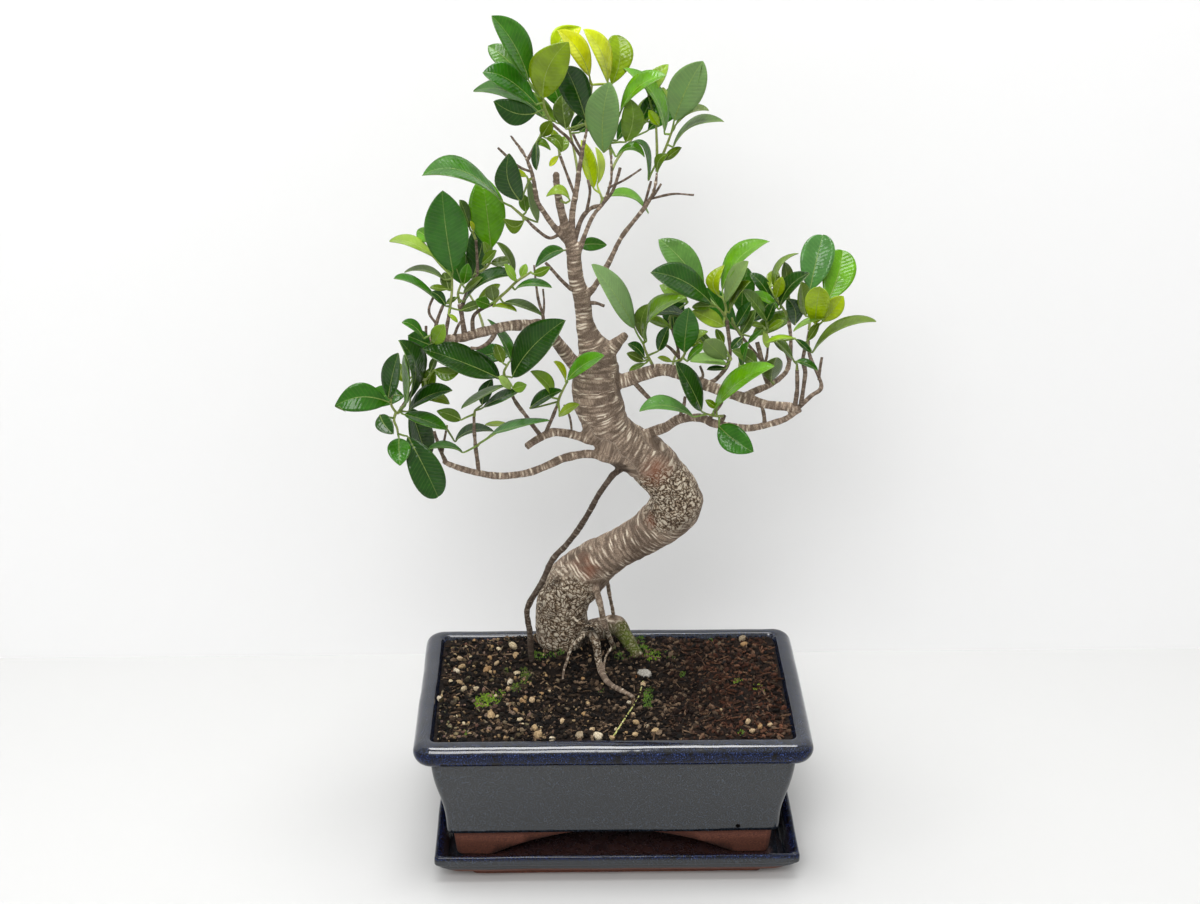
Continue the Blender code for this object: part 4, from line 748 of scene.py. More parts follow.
def stations(lines):
    """Every sample of every limb: place, radius, distance along, and two directions across it."""
    found = []
    for line, radii in lines:
        along = 0.0
        across = (line[1] - line[0]).orthogonal().normalized()
        for number, (place, radius) in enumerate(zip(line, radii)):
            ahead = line[min(number + 1, len(line) - 1)] - line[max(number - 1, 0)]
            ahead.normalize()
            across = (across - ahead * across.dot(ahead)).normalized()
            found.append((place, radius, along, across.copy(), ahead.cross(across), ahead))
            if number + 1 < len(line):
                along += (line[number + 1] - place).length
    return found


def nearest_stations(lines):
    """A search tree of the samples. A branch's samples that are buried in the trunk are left out."""
    trunk = stations(lines[:1])
    found = list(trunk)
    trunk_tree = KDTree(len(trunk))
    for number, station in enumerate(trunk):
        trunk_tree.insert(station[0], number)
    trunk_tree.balance()
    for line in lines[1:]:
        for station in stations([line]):
            _, number, apart = trunk_tree.find(station[0])
            if apart > trunk[number][1] * 1.02:
                found.append(station)
    search = KDTree(len(found))
    for number, station in enumerate(found):
        search.insert(station[0], number)
    search.balance()
    return found, search


def pole_place(vertex, found, search):
    """The vertex's place as if its limb were a straight pole, in millimetres, and its limb's radius."""
    best = None
    for place, number, apart in search.find_n(vertex, 6):
        station = found[number]
        share = apart / station[1]
        if best is None or share < best[0]:
            best = (share, station)
    place, radius, along, across, level, ahead = best[1]
    out = vertex - place
    further = out.dot(ahead)
    x, y = out.dot(across), out.dot(level)
    size = max(math.hypot(x, y), 1e-6)
    return Vector((x / size * radius, y / size * radius, along + further)) / MM, radius / MM


RIDGE = 0.00034
LUMP = 0.0011
trunk_mesh = melted(wood_lines)
shape = bmesh.new()
shape.from_mesh(trunk_mesh)
for _ in range(SMOOTH_ROUNDS):
    bmesh.ops.smooth_vert(shape, verts=shape.verts[:], factor=0.5, use_axis_x=True, use_axis_y=True,
                          use_axis_z=True)
shape.normal_update()
found, search = nearest_stations(wood_lines)
pole = shape.verts.layers.float_vector.new("bark_co")
thick = shape.verts.layers.float.new("limb_mm")
for vertex in shape.verts:
    straight, radius = pole_place(vertex.co, found, search)
    vertex[pole] = straight
    vertex[thick] = radius
    weight = min(radius / 12, 1.0)
    ring = noise.noise(Vector((straight.x * 0.06, straight.y * 0.06, straight.z * 0.30)))
    ring += 0.5 * noise.noise(Vector((straight.x * 0.16, straight.y * 0.16, straight.z * 0.62 + 40)))
    lump = noise.noise(straight * 0.045 + Vector((7, 3, 1)))
    vertex.co += vertex.normal * (RIDGE * ring * (0.3 + 0.7 * weight) + LUMP * lump * weight)
print("skin:", len(shape.verts), "points,", len(shape.faces), "faces")

# %% [markdown]
# Fig bark is thin and grey-brown. It is covered with lenticels: raised, corky pores, cream against the brown.
# Where the trunk is straight they run together into long thin lines across it. Where it bends, and at its foot,
# they are pebbles about four millimetres wide with dark cracks between them. Thick old bark is darker near the
# soil, and rusty streaks show where it has peeled. Voronoi cells make the pebbles and stretched ones the lines.

# %% Bark
PEBBLE_MM = 3.9
LINE_WIDE_MM = 11.0
LINE_APART_MM = 1.75
LINE_BEND_MM = 2.5
RAGGED = 0.014
# Where the bark changes, as sight points with a reach in millimetres
PEBBLED = ((664, 500, 0, 25), (560, 612, 24, 27), (585, 640, 26, 22), (560, 660, 30, 22), (636, 640, 44, 16))
SPARSE = ((607, 548, 20, 20), (632, 532, 14, 14))
RUSTY = ((577, 560, 22, 7), (627, 527, 14, 5), (655, 472, -7, 8), (650, 520, 8, 5), (590, 572, 22, 5))
# Hollows where painted shade darkens the bark
PAINTED_SHADE_HOLLOWS = ((597, 626, 28, 9), (590, 640, 30, 9), (604, 616, 34, 5))
MOSSY = ((624, 640, 42, 10), (618, 648, 38, 8), (634, 650, 38, 7))
HANGING = ((612, 478, -8, 12), (598, 496, -4, 14), (584, 521, 6, 14), (567, 544, 18, 14), (553, 559, 20, 11),
           (542, 582, 20, 14), (528, 608, 20, 14), (531, 640, 18, 14), (532, 660, 22, 12))


def nearness(put, place, spots, softness):
    """1 at the middle of the spots, 0 outside them."""
    most = None
    for *point, reach in spots:
        near_end, far_end = reach * MM * (1 - softness), reach * MM * (1 + softness)
        far = put("VectorMath DISTANCE", {0: place, 1: tuple(sighted(point))})
        near = put("MapRange", {"Value": far}, span=(near_end, far_end, 1.0, 0.0))
        most = near if most is None else put("Math", {0: most, 1: near}, operation="MAXIMUM")
    return most


def bark(name, lines_share, shade):
    """Grey-brown bark. lines_share says how pale its crosswise lines are, shade how dark it is on the whole."""
    made, put, shader = finish_named(name)
    straight = put("Attribute", attribute_name="bark_co").outputs["Vector"]
    thick = put("Attribute", attribute_name="limb_mm").outputs["Fac"]
    place = put("TexCoord").outputs["Object"]
    ragged = put("TexNoise", {"Vector": place, "Scale": per_metre(7), "Detail": 3.0})
    stray = put("VectorMath MULTIPLY", {0: ragged.outputs["Color"], 1: (RAGGED,) * 3})
    strayed = put("VectorMath ADD", {0: place, 1: stray})
    wandering = put("VectorMath SUBTRACT", {0: strayed, 1: (RAGGED / 2,) * 3})
    pebbled = nearness(put, wandering, PEBBLED, 0.18)
    sparse = nearness(put, wandering, SPARSE, 0.3)
    bend = put("TexNoise", {"Vector": straight, "Scale": 0.10, "Detail": 2.0})
    shift = put("VectorMath MULTIPLY", {0: bend.outputs["Color"], 1: (LINE_BEND_MM,) * 3})
    bent = put("VectorMath ADD", {0: straight, 1: shift})
    across = put("VectorMath MULTIPLY", {0: bent,
                                         1: (1 / LINE_WIDE_MM, 1 / LINE_WIDE_MM, 1 / LINE_APART_MM)})
    per_pebble = (per_metre(PEBBLE_MM), per_metre(PEBBLE_MM), per_metre(PEBBLE_MM * 0.7))
    squat = put("VectorMath MULTIPLY", {0: wandering, 1: per_pebble})
    streaks = put("TexVoronoi", {"Vector": across, "Scale": 1.0, "Randomness": 0.9})
    cells = put("TexVoronoi", {"Vector": squat, "Scale": 1.0, "Randomness": 0.85})
    cracks = put("TexVoronoi", {"Vector": squat, "Scale": 1.0, "Randomness": 0.85},
                 feature="DISTANCE_TO_EDGE")
    fine = put("TexNoise", {"Vector": straight, "Scale": 1.3, "Detail": 4.0, "Roughness": 0.7})
    cloud = put("TexNoise", {"Vector": place, "Scale": per_metre(30), "Detail": 3.0, "Roughness": 0.6})
    base = put("ValToRGB", {"Fac": fine}, stops=((0.30, "#5b4a3c"), (0.44, "#8a7766"), (0.60, "#aa9886"),
                                                 (0.76, "#bfb1a1")))
    # Dark seams between the crosswise cells
    seam = put("MapRange", {"Value": streaks}, span=(0.42, 0.66, 0.0, 0.6))
    seamed = put("Mix", {"Factor": seam, "A": base, "B": linear("#3d2e24")})
    # Lines: the middle of each long flat cell. Some cells stay brown, more of them where lines are sparse
    line_core = put("MapRange", {"Value": streaks}, span=(0.24, 0.38, 1.0, 0.0))
    line_pick = put("SeparateColor", {"Color": streaks.outputs["Color"]})
    fewer = put("Math MULTIPLY_ADD", {0: sparse, 1: -0.32, 2: line_pick})
    line_kept = put("MapRange", {"Value": fewer}, span=(0.20, 0.50, 0.0, lines_share))
    line = put("Math MULTIPLY", {0: line_core, 1: line_kept})
    lined = put("Mix", {"Factor": line, "A": seamed, "B": linear("#e8dcc8")})
    # Pebbles: pale in the middle and dark in the cracks between them
    pebble_tone = put("ValToRGB", {"Fac": cracks}, stops=((0.015, "#1f1610"), (0.06, "#66533f"),
                                                          (0.13, "#ab9880"), (0.26, "#e2d6c1")))
    pebble_pick = put("SeparateColor", {"Color": cells.outputs["Color"]})
    pebble_dark = put("MapRange", {"Value": pebble_pick}, span=(0.0, 1.0, 0.34, 0.0))
    pebbles = put("Mix", {"Factor": pebble_dark, "A": pebble_tone, "B": linear("#4b3b30")})
    seen = put("Mix", {"Factor": pebbled, "A": lined, "B": pebbles})
    # Patches of another colour: rust, moss and the one dark hanging root. The hollows get painted shade, nearly
    # black
    thin = put("MapRange", {"Value": thick}, span=(2.6, 3.6, 1.0, 0.0))
    hanging = put("Math MULTIPLY", {0: nearness(put, place, HANGING, 0.1), 1: thin})
    for share, strength, colour in ((nearness(put, wandering, RUSTY, 0.6), 0.5, "#84452a"),
                                    (hanging, 0.72, "#2c211a"),
                                    (nearness(put, place, PAINTED_SHADE_HOLLOWS, 0.4), 0.85, "#120d09"),
                                    (nearness(put, wandering, MOSSY, 0.5), 0.75, "#62781a")):
        part = put("Math MULTIPLY", {0: share, 1: strength})
        seen = put("Mix", {"Factor": part, "A": seen, "B": linear(colour)})
    gloom = put("MapRange", {"Value": cloud}, span=(0.46, 0.34, 0.0, 0.3))
    gloomy = put("Mix", {"Factor": gloom, "A": seen, "B": linear("#3a2c22")})
    # Thick old bark is darker towards the soil
    height = put("SeparateXYZ", {"Vector": place}).outputs["Z"]
    low = put("MapRange", {"Value": height}, span=(0.104, 0.132, 0.72, 0.0))
    old = put("MapRange", {"Value": thick}, span=(3.0, 7.0, 0.12, 1.0))
    damp = put("Math MULTIPLY", {0: low, 1: old})
    darker = put("Math MAXIMUM", {0: damp, 1: shade})
    aged = put("Mix", {"Factor": darker, "A": gloomy, "B": linear("#261b14")})
    feed(shader, {"Base Color": aged})
    raised = put("Bump", {"Height": line, "Strength": 0.5, "Distance": 0.0004})
    knobbly = put("Math MULTIPLY", {0: cracks, 1: pebbled})
    cracked = put("Bump", {"Height": knobbly, "Strength": 0.9, "Distance": 0.0022, "Normal": raised})
    rough = put("Bump", {"Height": fine, "Strength": 0.6, "Distance": 0.0005, "Normal": cracked})
    feed(shader, {"Normal": rough, "Roughness": 0.82, "Specular IOR Level": 0.3})
    return made


trunk_bark = bark("fig bark with crosswise pores", 0.85, 0.0)
trunk = show(shape, "bark_trunk", [trunk_bark])
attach(trunk, "root")
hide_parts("trunk")

# %% [markdown]
# The thin twigs are too fine for the Remesh, so they stay as tubes. Their bark is the same, with fewer pores.

# %% Twigs
twig_bark = bark("young fig bark", 0.45, 0.30)
shape = None
for line, radii in twig_lines:
    limb = tube(line, radii, TWIG_ROUND)
    pole = limb.verts.layers.float_vector.new("bark_co")
    thick = limb.verts.layers.float.new("limb_mm")
    held, search = nearest_stations([(line, radii)])
    for vertex in limb.verts:
        vertex[pole], vertex[thick] = pole_place(vertex.co, held, search)
    shape = joined(shape, limb) if shape else limb
twigs = show(shape, "bark_twigs", [twig_bark])
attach(twigs, "root")
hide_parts("trunk")
print("twigs:", len(twigs.data.polygons), "faces")

# %% [markdown]
# Each leafy stem is a green shoot that starts at a twig, with a leaf on a short stalk at each of its nodes.
# A leaf is given by its base and its tip in the view, its breadth there in pixels, a tone, and, where it
# curves, a third point. lean says if the tip points away from the viewer or nearer, and under if the paler
# underside faces them.

# %% The leafy stems
Leaf = namedtuple("Leaf", "base tip wide tone bend lean under", defaults=(None, None, False))
Spray = namedtuple("Spray", "name seat lean shoots leaves")

SPRAYS = (
    Spray("spray_crown_left", 0, -1, (((551, 123, 0), (545, 109, -4), (543, 99, -6)),), (
        Leaf((529, 80), (492, 16), 26, "mid", (514, 44)),
        Leaf((522, 76), (488, 46), 20, "matte", (504, 57), 1),
        Leaf((536, 104), (483, 72), 24, "mid", (508, 79)),
        Leaf((543, 116), (473, 91), 20, "mid", (508, 91), 1),
        Leaf((536, 113), (494, 101), 24, "dark", (515, 113)),
        Leaf((543, 98), (568, 42), 36, "gold", (548, 68)),
    )),
    Spray("spray_crown_top", 0, 1, (((587, 128, 12), (586, 118, 12), (590, 100, 14), (592, 84, 16)),), (
        Leaf((556, 60), (581, 27), 22, "yellow", (562, 38), 1),
        Leaf((590, 76), (558, 30), 19, "yellow", (578, 50), -1),
        Leaf((608, 83), (584, 29), 17, "yellow", (602, 53), -1),
        Leaf((612, 84), (617, 35), 26, "lime", (620, 58), 1),
        Leaf((586, 120), (565, 67), 30, "dark", (576, 90), -1),
        Leaf((566, 129), (562, 95), 20, "grey", (563, 111)), Leaf((571, 131), (590, 112), 14, "dark"),
    )),
    Spray("spray_crown_centre", 0, -1, (((611, 155, -6), (610, 138, -8), (616, 120, -10)),), (
        Leaf((603, 152), (610, 82), 33, "mid", (603, 115)),
        Leaf((626, 142), (630, 99), 22, "olive", (633, 120)),
        Leaf((617, 140), (629, 112), 11, "mid", (625, 125), 1),
        Leaf((620, 112), (666, 75), 14, "bright", (639, 86)),
        Leaf((616, 156), (645, 157), 8, "fresh", (632, 147)),
    )),
    Spray("spray_crown_heart", 0.5, 1, (((601, 205, 16), (602, 199, 17), (600, 193, 18)),), (
        Leaf((594, 188), (582, 140), 15, "yellow", (588, 165)),
        Leaf((598, 184), (596, 147), 7, "yellow", (600, 165), 1),
        Leaf((608, 196), (649, 213), 8, "bright", (630, 196), 1),
    )),
    Spray("spray_crown_right", 0, -1, (((657, 172, -6), (657, 150, -6), (656, 122, -5)),
                                       ((657, 168, -6), (666, 147, -10), (672, 131, -14))), (
        Leaf((648, 95), (668, 64), 16, "pale", (655, 80), 1),
        Leaf((665, 133), (624, 68), 13, "bright", (654, 95), 1),
        Leaf((666, 108), (663, 87), 8, "lime", None, 1), Leaf((674, 121), (703, 61), 34, "mid", (687, 88)),
        Leaf((675, 125), (709, 110), 6, "grey", (692, 111)),
        Leaf((673, 146), (724, 121), 8, "grey", (694, 124)),
        Leaf((659, 125), (649, 110), 9, "lime", (654, 118)),
        Leaf((641, 120), (655, 93), 14, "mid", (648, 107), 1),
        Leaf((657, 172), (668, 154), 9, "olive", (659, 160)), Leaf((664, 160), (681, 147), 8, "olive"),
        Leaf((649, 180), (633, 141), 5, "mid", (645, 150), 1),
    )),
    Spray("spray_crown_inner", 0, -1, (((540, 138, -3), (542, 131, -3)),), (
        Leaf((542, 136), (551, 121), 13, "olive"), Leaf((533, 147), (551, 150), 7, "olive", (541, 142)),
        Leaf((536, 142), (536, 170), 8, "dark", None, -2.5),
        Leaf((546, 138), (562, 152), 11, "olive", (557, 140)),
    )),
    Spray("spray_crown_back", 0, 1, (((560, 156, 20), (559, 151, 21)),), (
        Leaf((559, 148), (552, 129), 8, "lime"), Leaf((560, 152), (566, 136), 12, "pale"),
        Leaf((558, 156), (549, 166), 6, "yellow"),
    )),
    Spray("spray_crown_side", 2.1, -1, (((560, 200, 0), (563, 202, -7), (566, 203, -10)),), (
        Leaf((570, 200), (546, 196), 9, "pale", (560, 190)),
    )),
    Spray("spray_left_limb", 1.8, -1, (((533, 178, -10), (529, 180, -14)),), (
        Leaf((521, 201), (509, 154), 26, "dark", (508, 180)), Leaf((527, 176), (512, 170), 6, "lime"),
    )),
    Spray("spray_upper_left", 0, -1, (((527, 220, -8), (518, 212, -10), (511, 206, -12)),), (
        Leaf((501, 200), (422, 175), 19, "mid", (461, 170)),
        Leaf((524, 221), (504, 219), 13, "olive", (514, 227)),
        Leaf((526, 212), (523, 194), 11, "olive", None, 1),
        Leaf((538, 222), (528, 178), 9, "grey", (532, 204), 1),
    )),
    Spray("spray_left_high", 0, -1, (((449, 314, -17), (451, 300, -16), (452, 289, -14), (452, 276, -13)),), (
        Leaf((453, 272), (442, 191), 43, "mid", (446, 230)),
        Leaf((432, 240), (417, 230), 15, "fresh", None, 1),
        Leaf((434, 257), (389, 241), 11, "pale", (410, 242), 1),
        Leaf((444, 279), (404, 272), 6, "grey", (424, 270), 1),
        Leaf((440, 302), (394, 278), 6, "mid", (415, 284)),
        Leaf((446, 306), (431, 292), 10, "dark", (439, 296)),
        Leaf((449, 290), (444, 272), 12, "grey", None, 1), Leaf((447, 289), (430, 287), 6, "olive"),
        Leaf((461, 310), (482, 303), 9, "grey"), Leaf((449, 314), (458, 322), 4, "lime"),
    )),
    Spray("spray_left_mast", 0, -1, (((460, 304, -10), (458, 294, -8), (461, 284, -6)),), (
        Leaf((464, 284), (468, 264), 12, "fresh"), Leaf((464, 301), (516, 275), 11, "dark", (487, 279), -1),
        Leaf((463, 293), (482, 277), 7, "grey"), Leaf((457, 297), (446, 303), 5, "olive", None, -1),
    )),
    Spray("spray_left_twig", 0, -1, (((476, 240, 8), (473, 233, 9)),), (
        Leaf((470, 228), (460, 200), 9, "grey", (465, 212)), Leaf((474, 231), (471, 221), 4, "yellow"),
    )),
    Spray("spray_left_fan", 1.8, 1, (((477, 273, 2), (483, 270, 5), (489, 264, 8), (491, 256, 9)),), (
        Leaf((491, 249), (482, 176), 37, "bright", (487, 212)),
        Leaf((490, 258), (484, 242), 8, "pale", None, -1),
        Leaf((482, 264), (496, 250), 9, "olive", None, -1),
        Leaf((491, 263), (514, 258), 10, "grey", (501, 262)),
        Leaf((472, 277), (466, 256), 7, "dark", None, -1),
    )),
    Spray("spray_left_olive", 0, -1, (((493, 304, -16), (500, 297, -17), (508, 290, -18), (516, 282, -19),
                                       (525, 276, -20), (531, 272, -21)),), (
        Leaf((515, 289), (552, 287), 7, "mid", (531, 283)),
        Leaf((533, 274), (550, 267), 9, "olive", (541, 272)),
        Leaf((504, 302), (542, 315), 8, "grey", (523, 306)),
        Leaf((493, 306), (517, 311), 5, "lime", (505, 306)),
        Leaf((494, 301), (491, 286), 14, "olive", None, 1), Leaf((490, 305), (476, 300), 12, "fresh"),
        Leaf((514, 275), (497, 242), 7, "grey", (508, 257), 1), Leaf((516, 281), (505, 264), 8, "pale"),
        Leaf((521, 277), (526, 264), 8, "pale", None, 1),
    )),
    Spray("spray_leader_back", 4.6, 1, (((573, 252, 6), (571, 249, 20), (572, 246, 25)),), (
        Leaf((564, 250), (535, 267), 12, "mid", (549, 254)),
        Leaf((580, 246), (607, 245), 14, "mid", (591, 244)),
    )),
    Spray("spray_left_branch", 2.8, -1, (((434, 341, -22), (433, 336, -28), (431, 335, -31)),), (
        Leaf((430, 345), (408, 336), 21, "mid", None, -0.1), Leaf((433, 344), (444, 325), 16, "pale"),
        Leaf((424, 338), (402, 322), 9, "mid", (414, 326)),
    )),
    Spray("spray_left_hang", 1.5, -1, (((420, 378, -20), (425, 380, -24), (428, 378, -27)),), (
        Leaf((425, 395), (433, 366), 14, "olive", None, 1),
        Leaf((434, 370), (459, 372), 14, "olive", (446, 374)),
        Leaf((430, 372), (436, 356), 7, "grey", None, 1),
        Leaf((430, 400), (450, 404), 10, "pale", (440, 398), 1),
    )),
    Spray("spray_left_end", 0.7, -1, (((401, 409, -22), (397, 413, -25), (391, 404, -28), (393, 392, -29)),
                                    ((396, 412, -26), (394, 420, -29), (397, 428, -31), (398, 434, -31))), (
        Leaf((404, 406), (399, 340), 16, "dark", (416, 370), -1.6),
        Leaf((405, 405), (404, 355), 7, "fresh", (409, 375), -1.5),
        Leaf((388, 398), (398, 353), 19, "dark", (392, 376)),
        Leaf((388, 402), (335, 406), 29, "mid", (361, 397)),
        Leaf((380, 415), (393, 434), 17, "dark", (384, 424)),
        Leaf((399, 438), (400, 465), 23, "mid", (399, 450)),
        Leaf((408, 437), (438, 497), 33, "dark", (424, 467)),
        Leaf((408, 411), (452, 390), 15, "dark", (427, 396), -1.2),
        Leaf((404, 414), (447, 429), 14, "mid", (425, 420), -1.3),
    )),
    Spray("spray_left_middle", 0, -1, (((506, 380, -20), (504, 372, -22), (508, 364, -24)),), (
        Leaf((497, 377), (423, 349), 28, "dark", (460, 361)),
        Leaf((500, 379), (468, 350), 14, "dark", None, 1),
        Leaf((512, 377), (565, 320), 33, "dark", (532, 347)),
        Leaf((511, 360), (488, 319), 10, "mid", (503, 340), 2.5),
        Leaf((503, 363), (496, 344), 12, "olive", None, 1), Leaf((511, 389), (499, 376), 8, "pale"),
        Leaf((513, 389), (526, 385), 11, "pale"), Leaf((505, 385), (461, 408), 7, "grey", (483, 395)),
    )),
    Spray("spray_left_up", 0, -1, (((474, 417, -18), (475, 410, -18)),), (
        Leaf((482, 405), (492, 379), 14, "dark", (485, 392), 1),
        Leaf((483, 407), (519, 391), 10, "dark", (500, 398)),
        Leaf((461, 420), (437, 411), 13, "olive", (451, 415)),
    )),
    Spray("spray_left_low", 1.8, -1, (((476, 447, -20), (480, 443, -24)),), (
        Leaf((491, 434), (549, 420), 9, "mid", (514, 427)),
        Leaf((508, 424), (485, 424), 5, "pale", None, 1),
        Leaf((463, 452), (428, 449), 7, "mid", (446, 446)),
    )),
    Spray("spray_left_low_end", 0, 1, (((446, 431, -18), (447, 425, -17)),), (
        Leaf((455, 441), (494, 431), 9, "dark", (472, 430)),
    )),
    Spray("spray_left_inner", 0, -1, (((557, 406, -16), (560, 396, -18), (567, 382, -20)),), (
        Leaf((552, 397), (531, 371), 12, "pale", (547, 383)),
        Leaf((530, 408), (562, 390), 12, "dark", (543, 398)),
        Leaf((567, 380), (604, 355), 15, "fresh", (583, 365)),
        Leaf((566, 380), (554, 361), 6, "lime", (561, 368), 1),
        Leaf((559, 416), (579, 404), 9, "pale", (568, 409)),
    )),
    Spray("spray_right_near", 0, -1, (((652, 364, -6), (646, 352, -9), (643, 343, -11)),), (
        Leaf((635, 328), (592, 264), 22, "matte", (617, 297)),
        Leaf((644, 340), (648, 304), 12, "grey", (641, 322)),
        Leaf((646, 340), (686, 297), 13, "olive", (653, 312), -1.6),
        Leaf((658, 351), (668, 327), 12, "dark"), Leaf((645, 358), (628, 344), 9, "dark", (637, 348)),
        Leaf((644, 361), (627, 353), 9, "grey"), Leaf((645, 363), (629, 370), 5, "olive"),
    )),
    Spray("spray_right_slim", 0, 1, (((669, 321, 2), (671, 314, 3)),), (
        Leaf((690, 318), (645, 316), 11, "dark", (668, 311), -1),
        Leaf((671, 328), (647, 319), 9, "pale", (659, 322), -1), Leaf((688, 302), (660, 285), 14, "pale"),
    )),
    Spray("spray_right_centre", 1.6, -1, (((679, 362, -4), (683, 357, -8), (685, 353, -10)),), (
        Leaf((684, 352), (689, 308), 26, "mid", (686, 330)),
        Leaf((685, 353), (708, 331), 12, "lime", (692, 338), 1),
        Leaf((687, 361), (706, 344), 8, "fresh", (695, 352)), Leaf((672, 361), (658, 357), 5, "pale"),
    )),
    Spray("spray_right_ringed", 1.7, -1, (((729, 356, -5), (731, 359, -12), (729, 362, -15)),), (
        Leaf((726, 359), (705, 340), 20, "olive", (715, 349), None, True),
        Leaf((727, 364), (690, 361), 11, "bright", (708, 360)), Leaf((726, 368), (707, 369), 5, "dark"),
        Leaf((724, 344), (716, 329), 8, "olive", None, 1), Leaf((714, 348), (700, 334), 8, "grey", None, 1),
    )),
    Spray("spray_right_top", 0.4, -1, (((727, 320, 0), (722, 312, -3), (716, 306, -5)),
                                     ((725, 316, -2), (726, 308, -1), (723, 298, 0))), (
        Leaf((711, 303), (651, 272), 28, "dark", (684, 281)),
        Leaf((704, 291), (659, 239), 28, "matte", (682, 260), 1),
        Leaf((724, 326), (692, 311), 16, "pale", (709, 318)), Leaf((711, 306), (692, 307), 9, "olive"),
        Leaf((719, 296), (724, 265), 14, "lime", (713, 281), 1),
        Leaf((722, 290), (769, 241), 17, "bright", (740, 257), 1),
        Leaf((725, 302), (748, 261), 15, "olive", (736, 280)),
        Leaf((729, 312), (750, 281), 9, "olive", (738, 293)),
    )),
    Spray("spray_right_riser", 0, -1, (((733, 323, -4), (732, 318, -6)),), (
        Leaf((736, 327), (751, 302), 12, "dark"), Leaf((741, 334), (755, 310), 12, "grey", (748, 322)),
        Leaf((742, 337), (731, 349), 9, "dark"),
    )),
    Spray("spray_right_high", 0, 1, (((789, 320, 16), (784, 310, 17), (777, 300, 18)),
                                     ((787, 316, 16), (789, 306, 17), (789, 296, 18))), (
        Leaf((772, 301), (750, 273), 13, "dark", (762, 284)), Leaf((770, 287), (776, 270), 14, "pale"),
        Leaf((779, 309), (750, 294), 9, "fresh", (766, 299), -1),
        Leaf((774, 290), (798, 253), 6, "olive", (780, 266)),
        Leaf((776, 298), (782, 277), 12, "lime", None, -1), Leaf((789, 290), (785, 262), 12, "grey"),
        Leaf((780, 306), (809, 273), 15, "dark", (790, 286), -1),
        Leaf((795, 325), (787, 299), 18, "dark", (795, 310), -1),
        Leaf((786, 318), (802, 314), 5, "fresh", (793, 313), -1),
    )),
    Spray("spray_right_mid", 0, -1, (((768, 345, 7), (767, 338, 6), (767, 330, 4)),), (
        Leaf((768, 322), (743, 290), 12, "grey", (756, 304)), Leaf((766, 322), (774, 303), 10, "dark"),
        Leaf((768, 330), (784, 320), 8, "olive"), Leaf((795, 338), (766, 343), 5, "lime", (780, 338), -1.5),
        Leaf((764, 332), (768, 348), 7, "lime"), Leaf((762, 330), (748, 343), 5, "fresh"),
        Leaf((763, 326), (750, 323), 6, "pale", None, 1),
    )),
    Spray("spray_right_under", 1.7, -1, (((764, 372, 0), (760, 371, -5), (757, 369, -9)),), (
        Leaf((757, 366), (732, 350), 14, "grey", (748, 357)),
        Leaf((742, 368), (748, 342), 8, "mid", (743, 355)),
    )),
    Spray("spray_right_stub", 2.6, -1, (((774, 382, 1), (773, 384, -7)),), (
        Leaf((771, 381), (776, 357), 21, "grey", (772, 370), None, True),
    )),
    Spray("spray_right_inner", 0.4, 1, (((780, 341, 16), (778, 337, 20)),), (
        Leaf((786, 352), (772, 336), 8, "grey", None, 0.5),
        Leaf((789, 350), (778, 338), 7, "olive", None, 1),
    )),
    Spray("spray_right_back_end", 0, 1, (((809, 331, 6), (810, 322, 8), (813, 312, 10)),), (
        Leaf((806, 316), (802, 282), 14, "olive", (803, 298), -1),
        Leaf((810, 290), (823, 235), 34, "matte", (816, 262)),
        Leaf((828, 300), (843, 250), 34, "bright", (838, 276)),
    )),
    Spray("spray_right_front_end", 0, -1, (((805, 347, -28), (809, 338, -30), (814, 328, -31)),), (
        Leaf((815, 324), (820, 287), 24, "lime", (817, 304)),
        Leaf((822, 322), (843, 296), 18, "lime", (834, 308)),
        Leaf((824, 319), (793, 331), 5, "pale", (810, 321)),
        Leaf((812, 352), (876, 321), 9, "olive", (840, 328)), Leaf((808, 340), (819, 323), 8, "olive"),
        Leaf((796, 339), (811, 352), 6, "dark"),
    )),
    Spray("spray_right_end_low", 0, -1, (((797, 370, -22), (797, 364, -23)),), (
        Leaf((793, 358), (777, 341), 8, "grey", None, -2),
        Leaf((796, 361), (818, 370), 7, "mid", (806, 363), -2.5),
    )),
    Spray("spray_right_low", 1.0, -1, (((724, 416, -17), (716, 416, -22), (706, 414, -25)),), (
        Leaf((713, 411), (774, 366), 18, "bright", (739, 382)),
        Leaf((702, 411), (676, 362), 20, "dark", (691, 387)),
        Leaf((693, 416), (639, 411), 14, "matte", (665, 405)), Leaf((717, 408), (706, 400), 7, "olive"),
        Leaf((719, 426), (753, 452), 27, "mid", (733, 439)),
    )),
    Spray("spray_back_left", 2.9, 1, (((484, 332, -17), (482, 322, 2), (476, 306, 18), (468, 292, 26)),), (
        Leaf((462, 284), (446, 232), 28, "mid", (452, 255)),
        Leaf((472, 280), (484, 222), 26, "dark", (481, 248)), Leaf((478, 300), (500, 284), 9, "olive"),
    )),
    Spray("spray_back_left_middle", 3.25, 1, (((531, 326, -10), (530, 334, 8), (520, 348, 22)),), (
        Leaf((512, 354), (470, 360), 20, "mid", (490, 354)), Leaf((528, 352), (552, 330), 24, "dark"),
    )),
    Spray("spray_back_left_end", 2.8, 1, (((431, 341, -22), (426, 352, -2), (414, 376, 14)),), (
        Leaf((404, 396), (362, 404), 22, "mid", (384, 396)),
        Leaf((410, 408), (428, 462), 26, "dark", (420, 436)), Leaf((404, 382), (396, 362), 14, "olive"),
    )),
    Spray("spray_back_right", 3.2, 1, (((735, 395, -14), (738, 378, 8), (742, 344, 28), (744, 324, 34)),), (
        Leaf((742, 314), (748, 268), 24, "mid", (743, 290)),
        Leaf((752, 322), (784, 288), 20, "dark", (770, 302)),
        Leaf((736, 330), (706, 288), 26, "mid", (718, 306)),
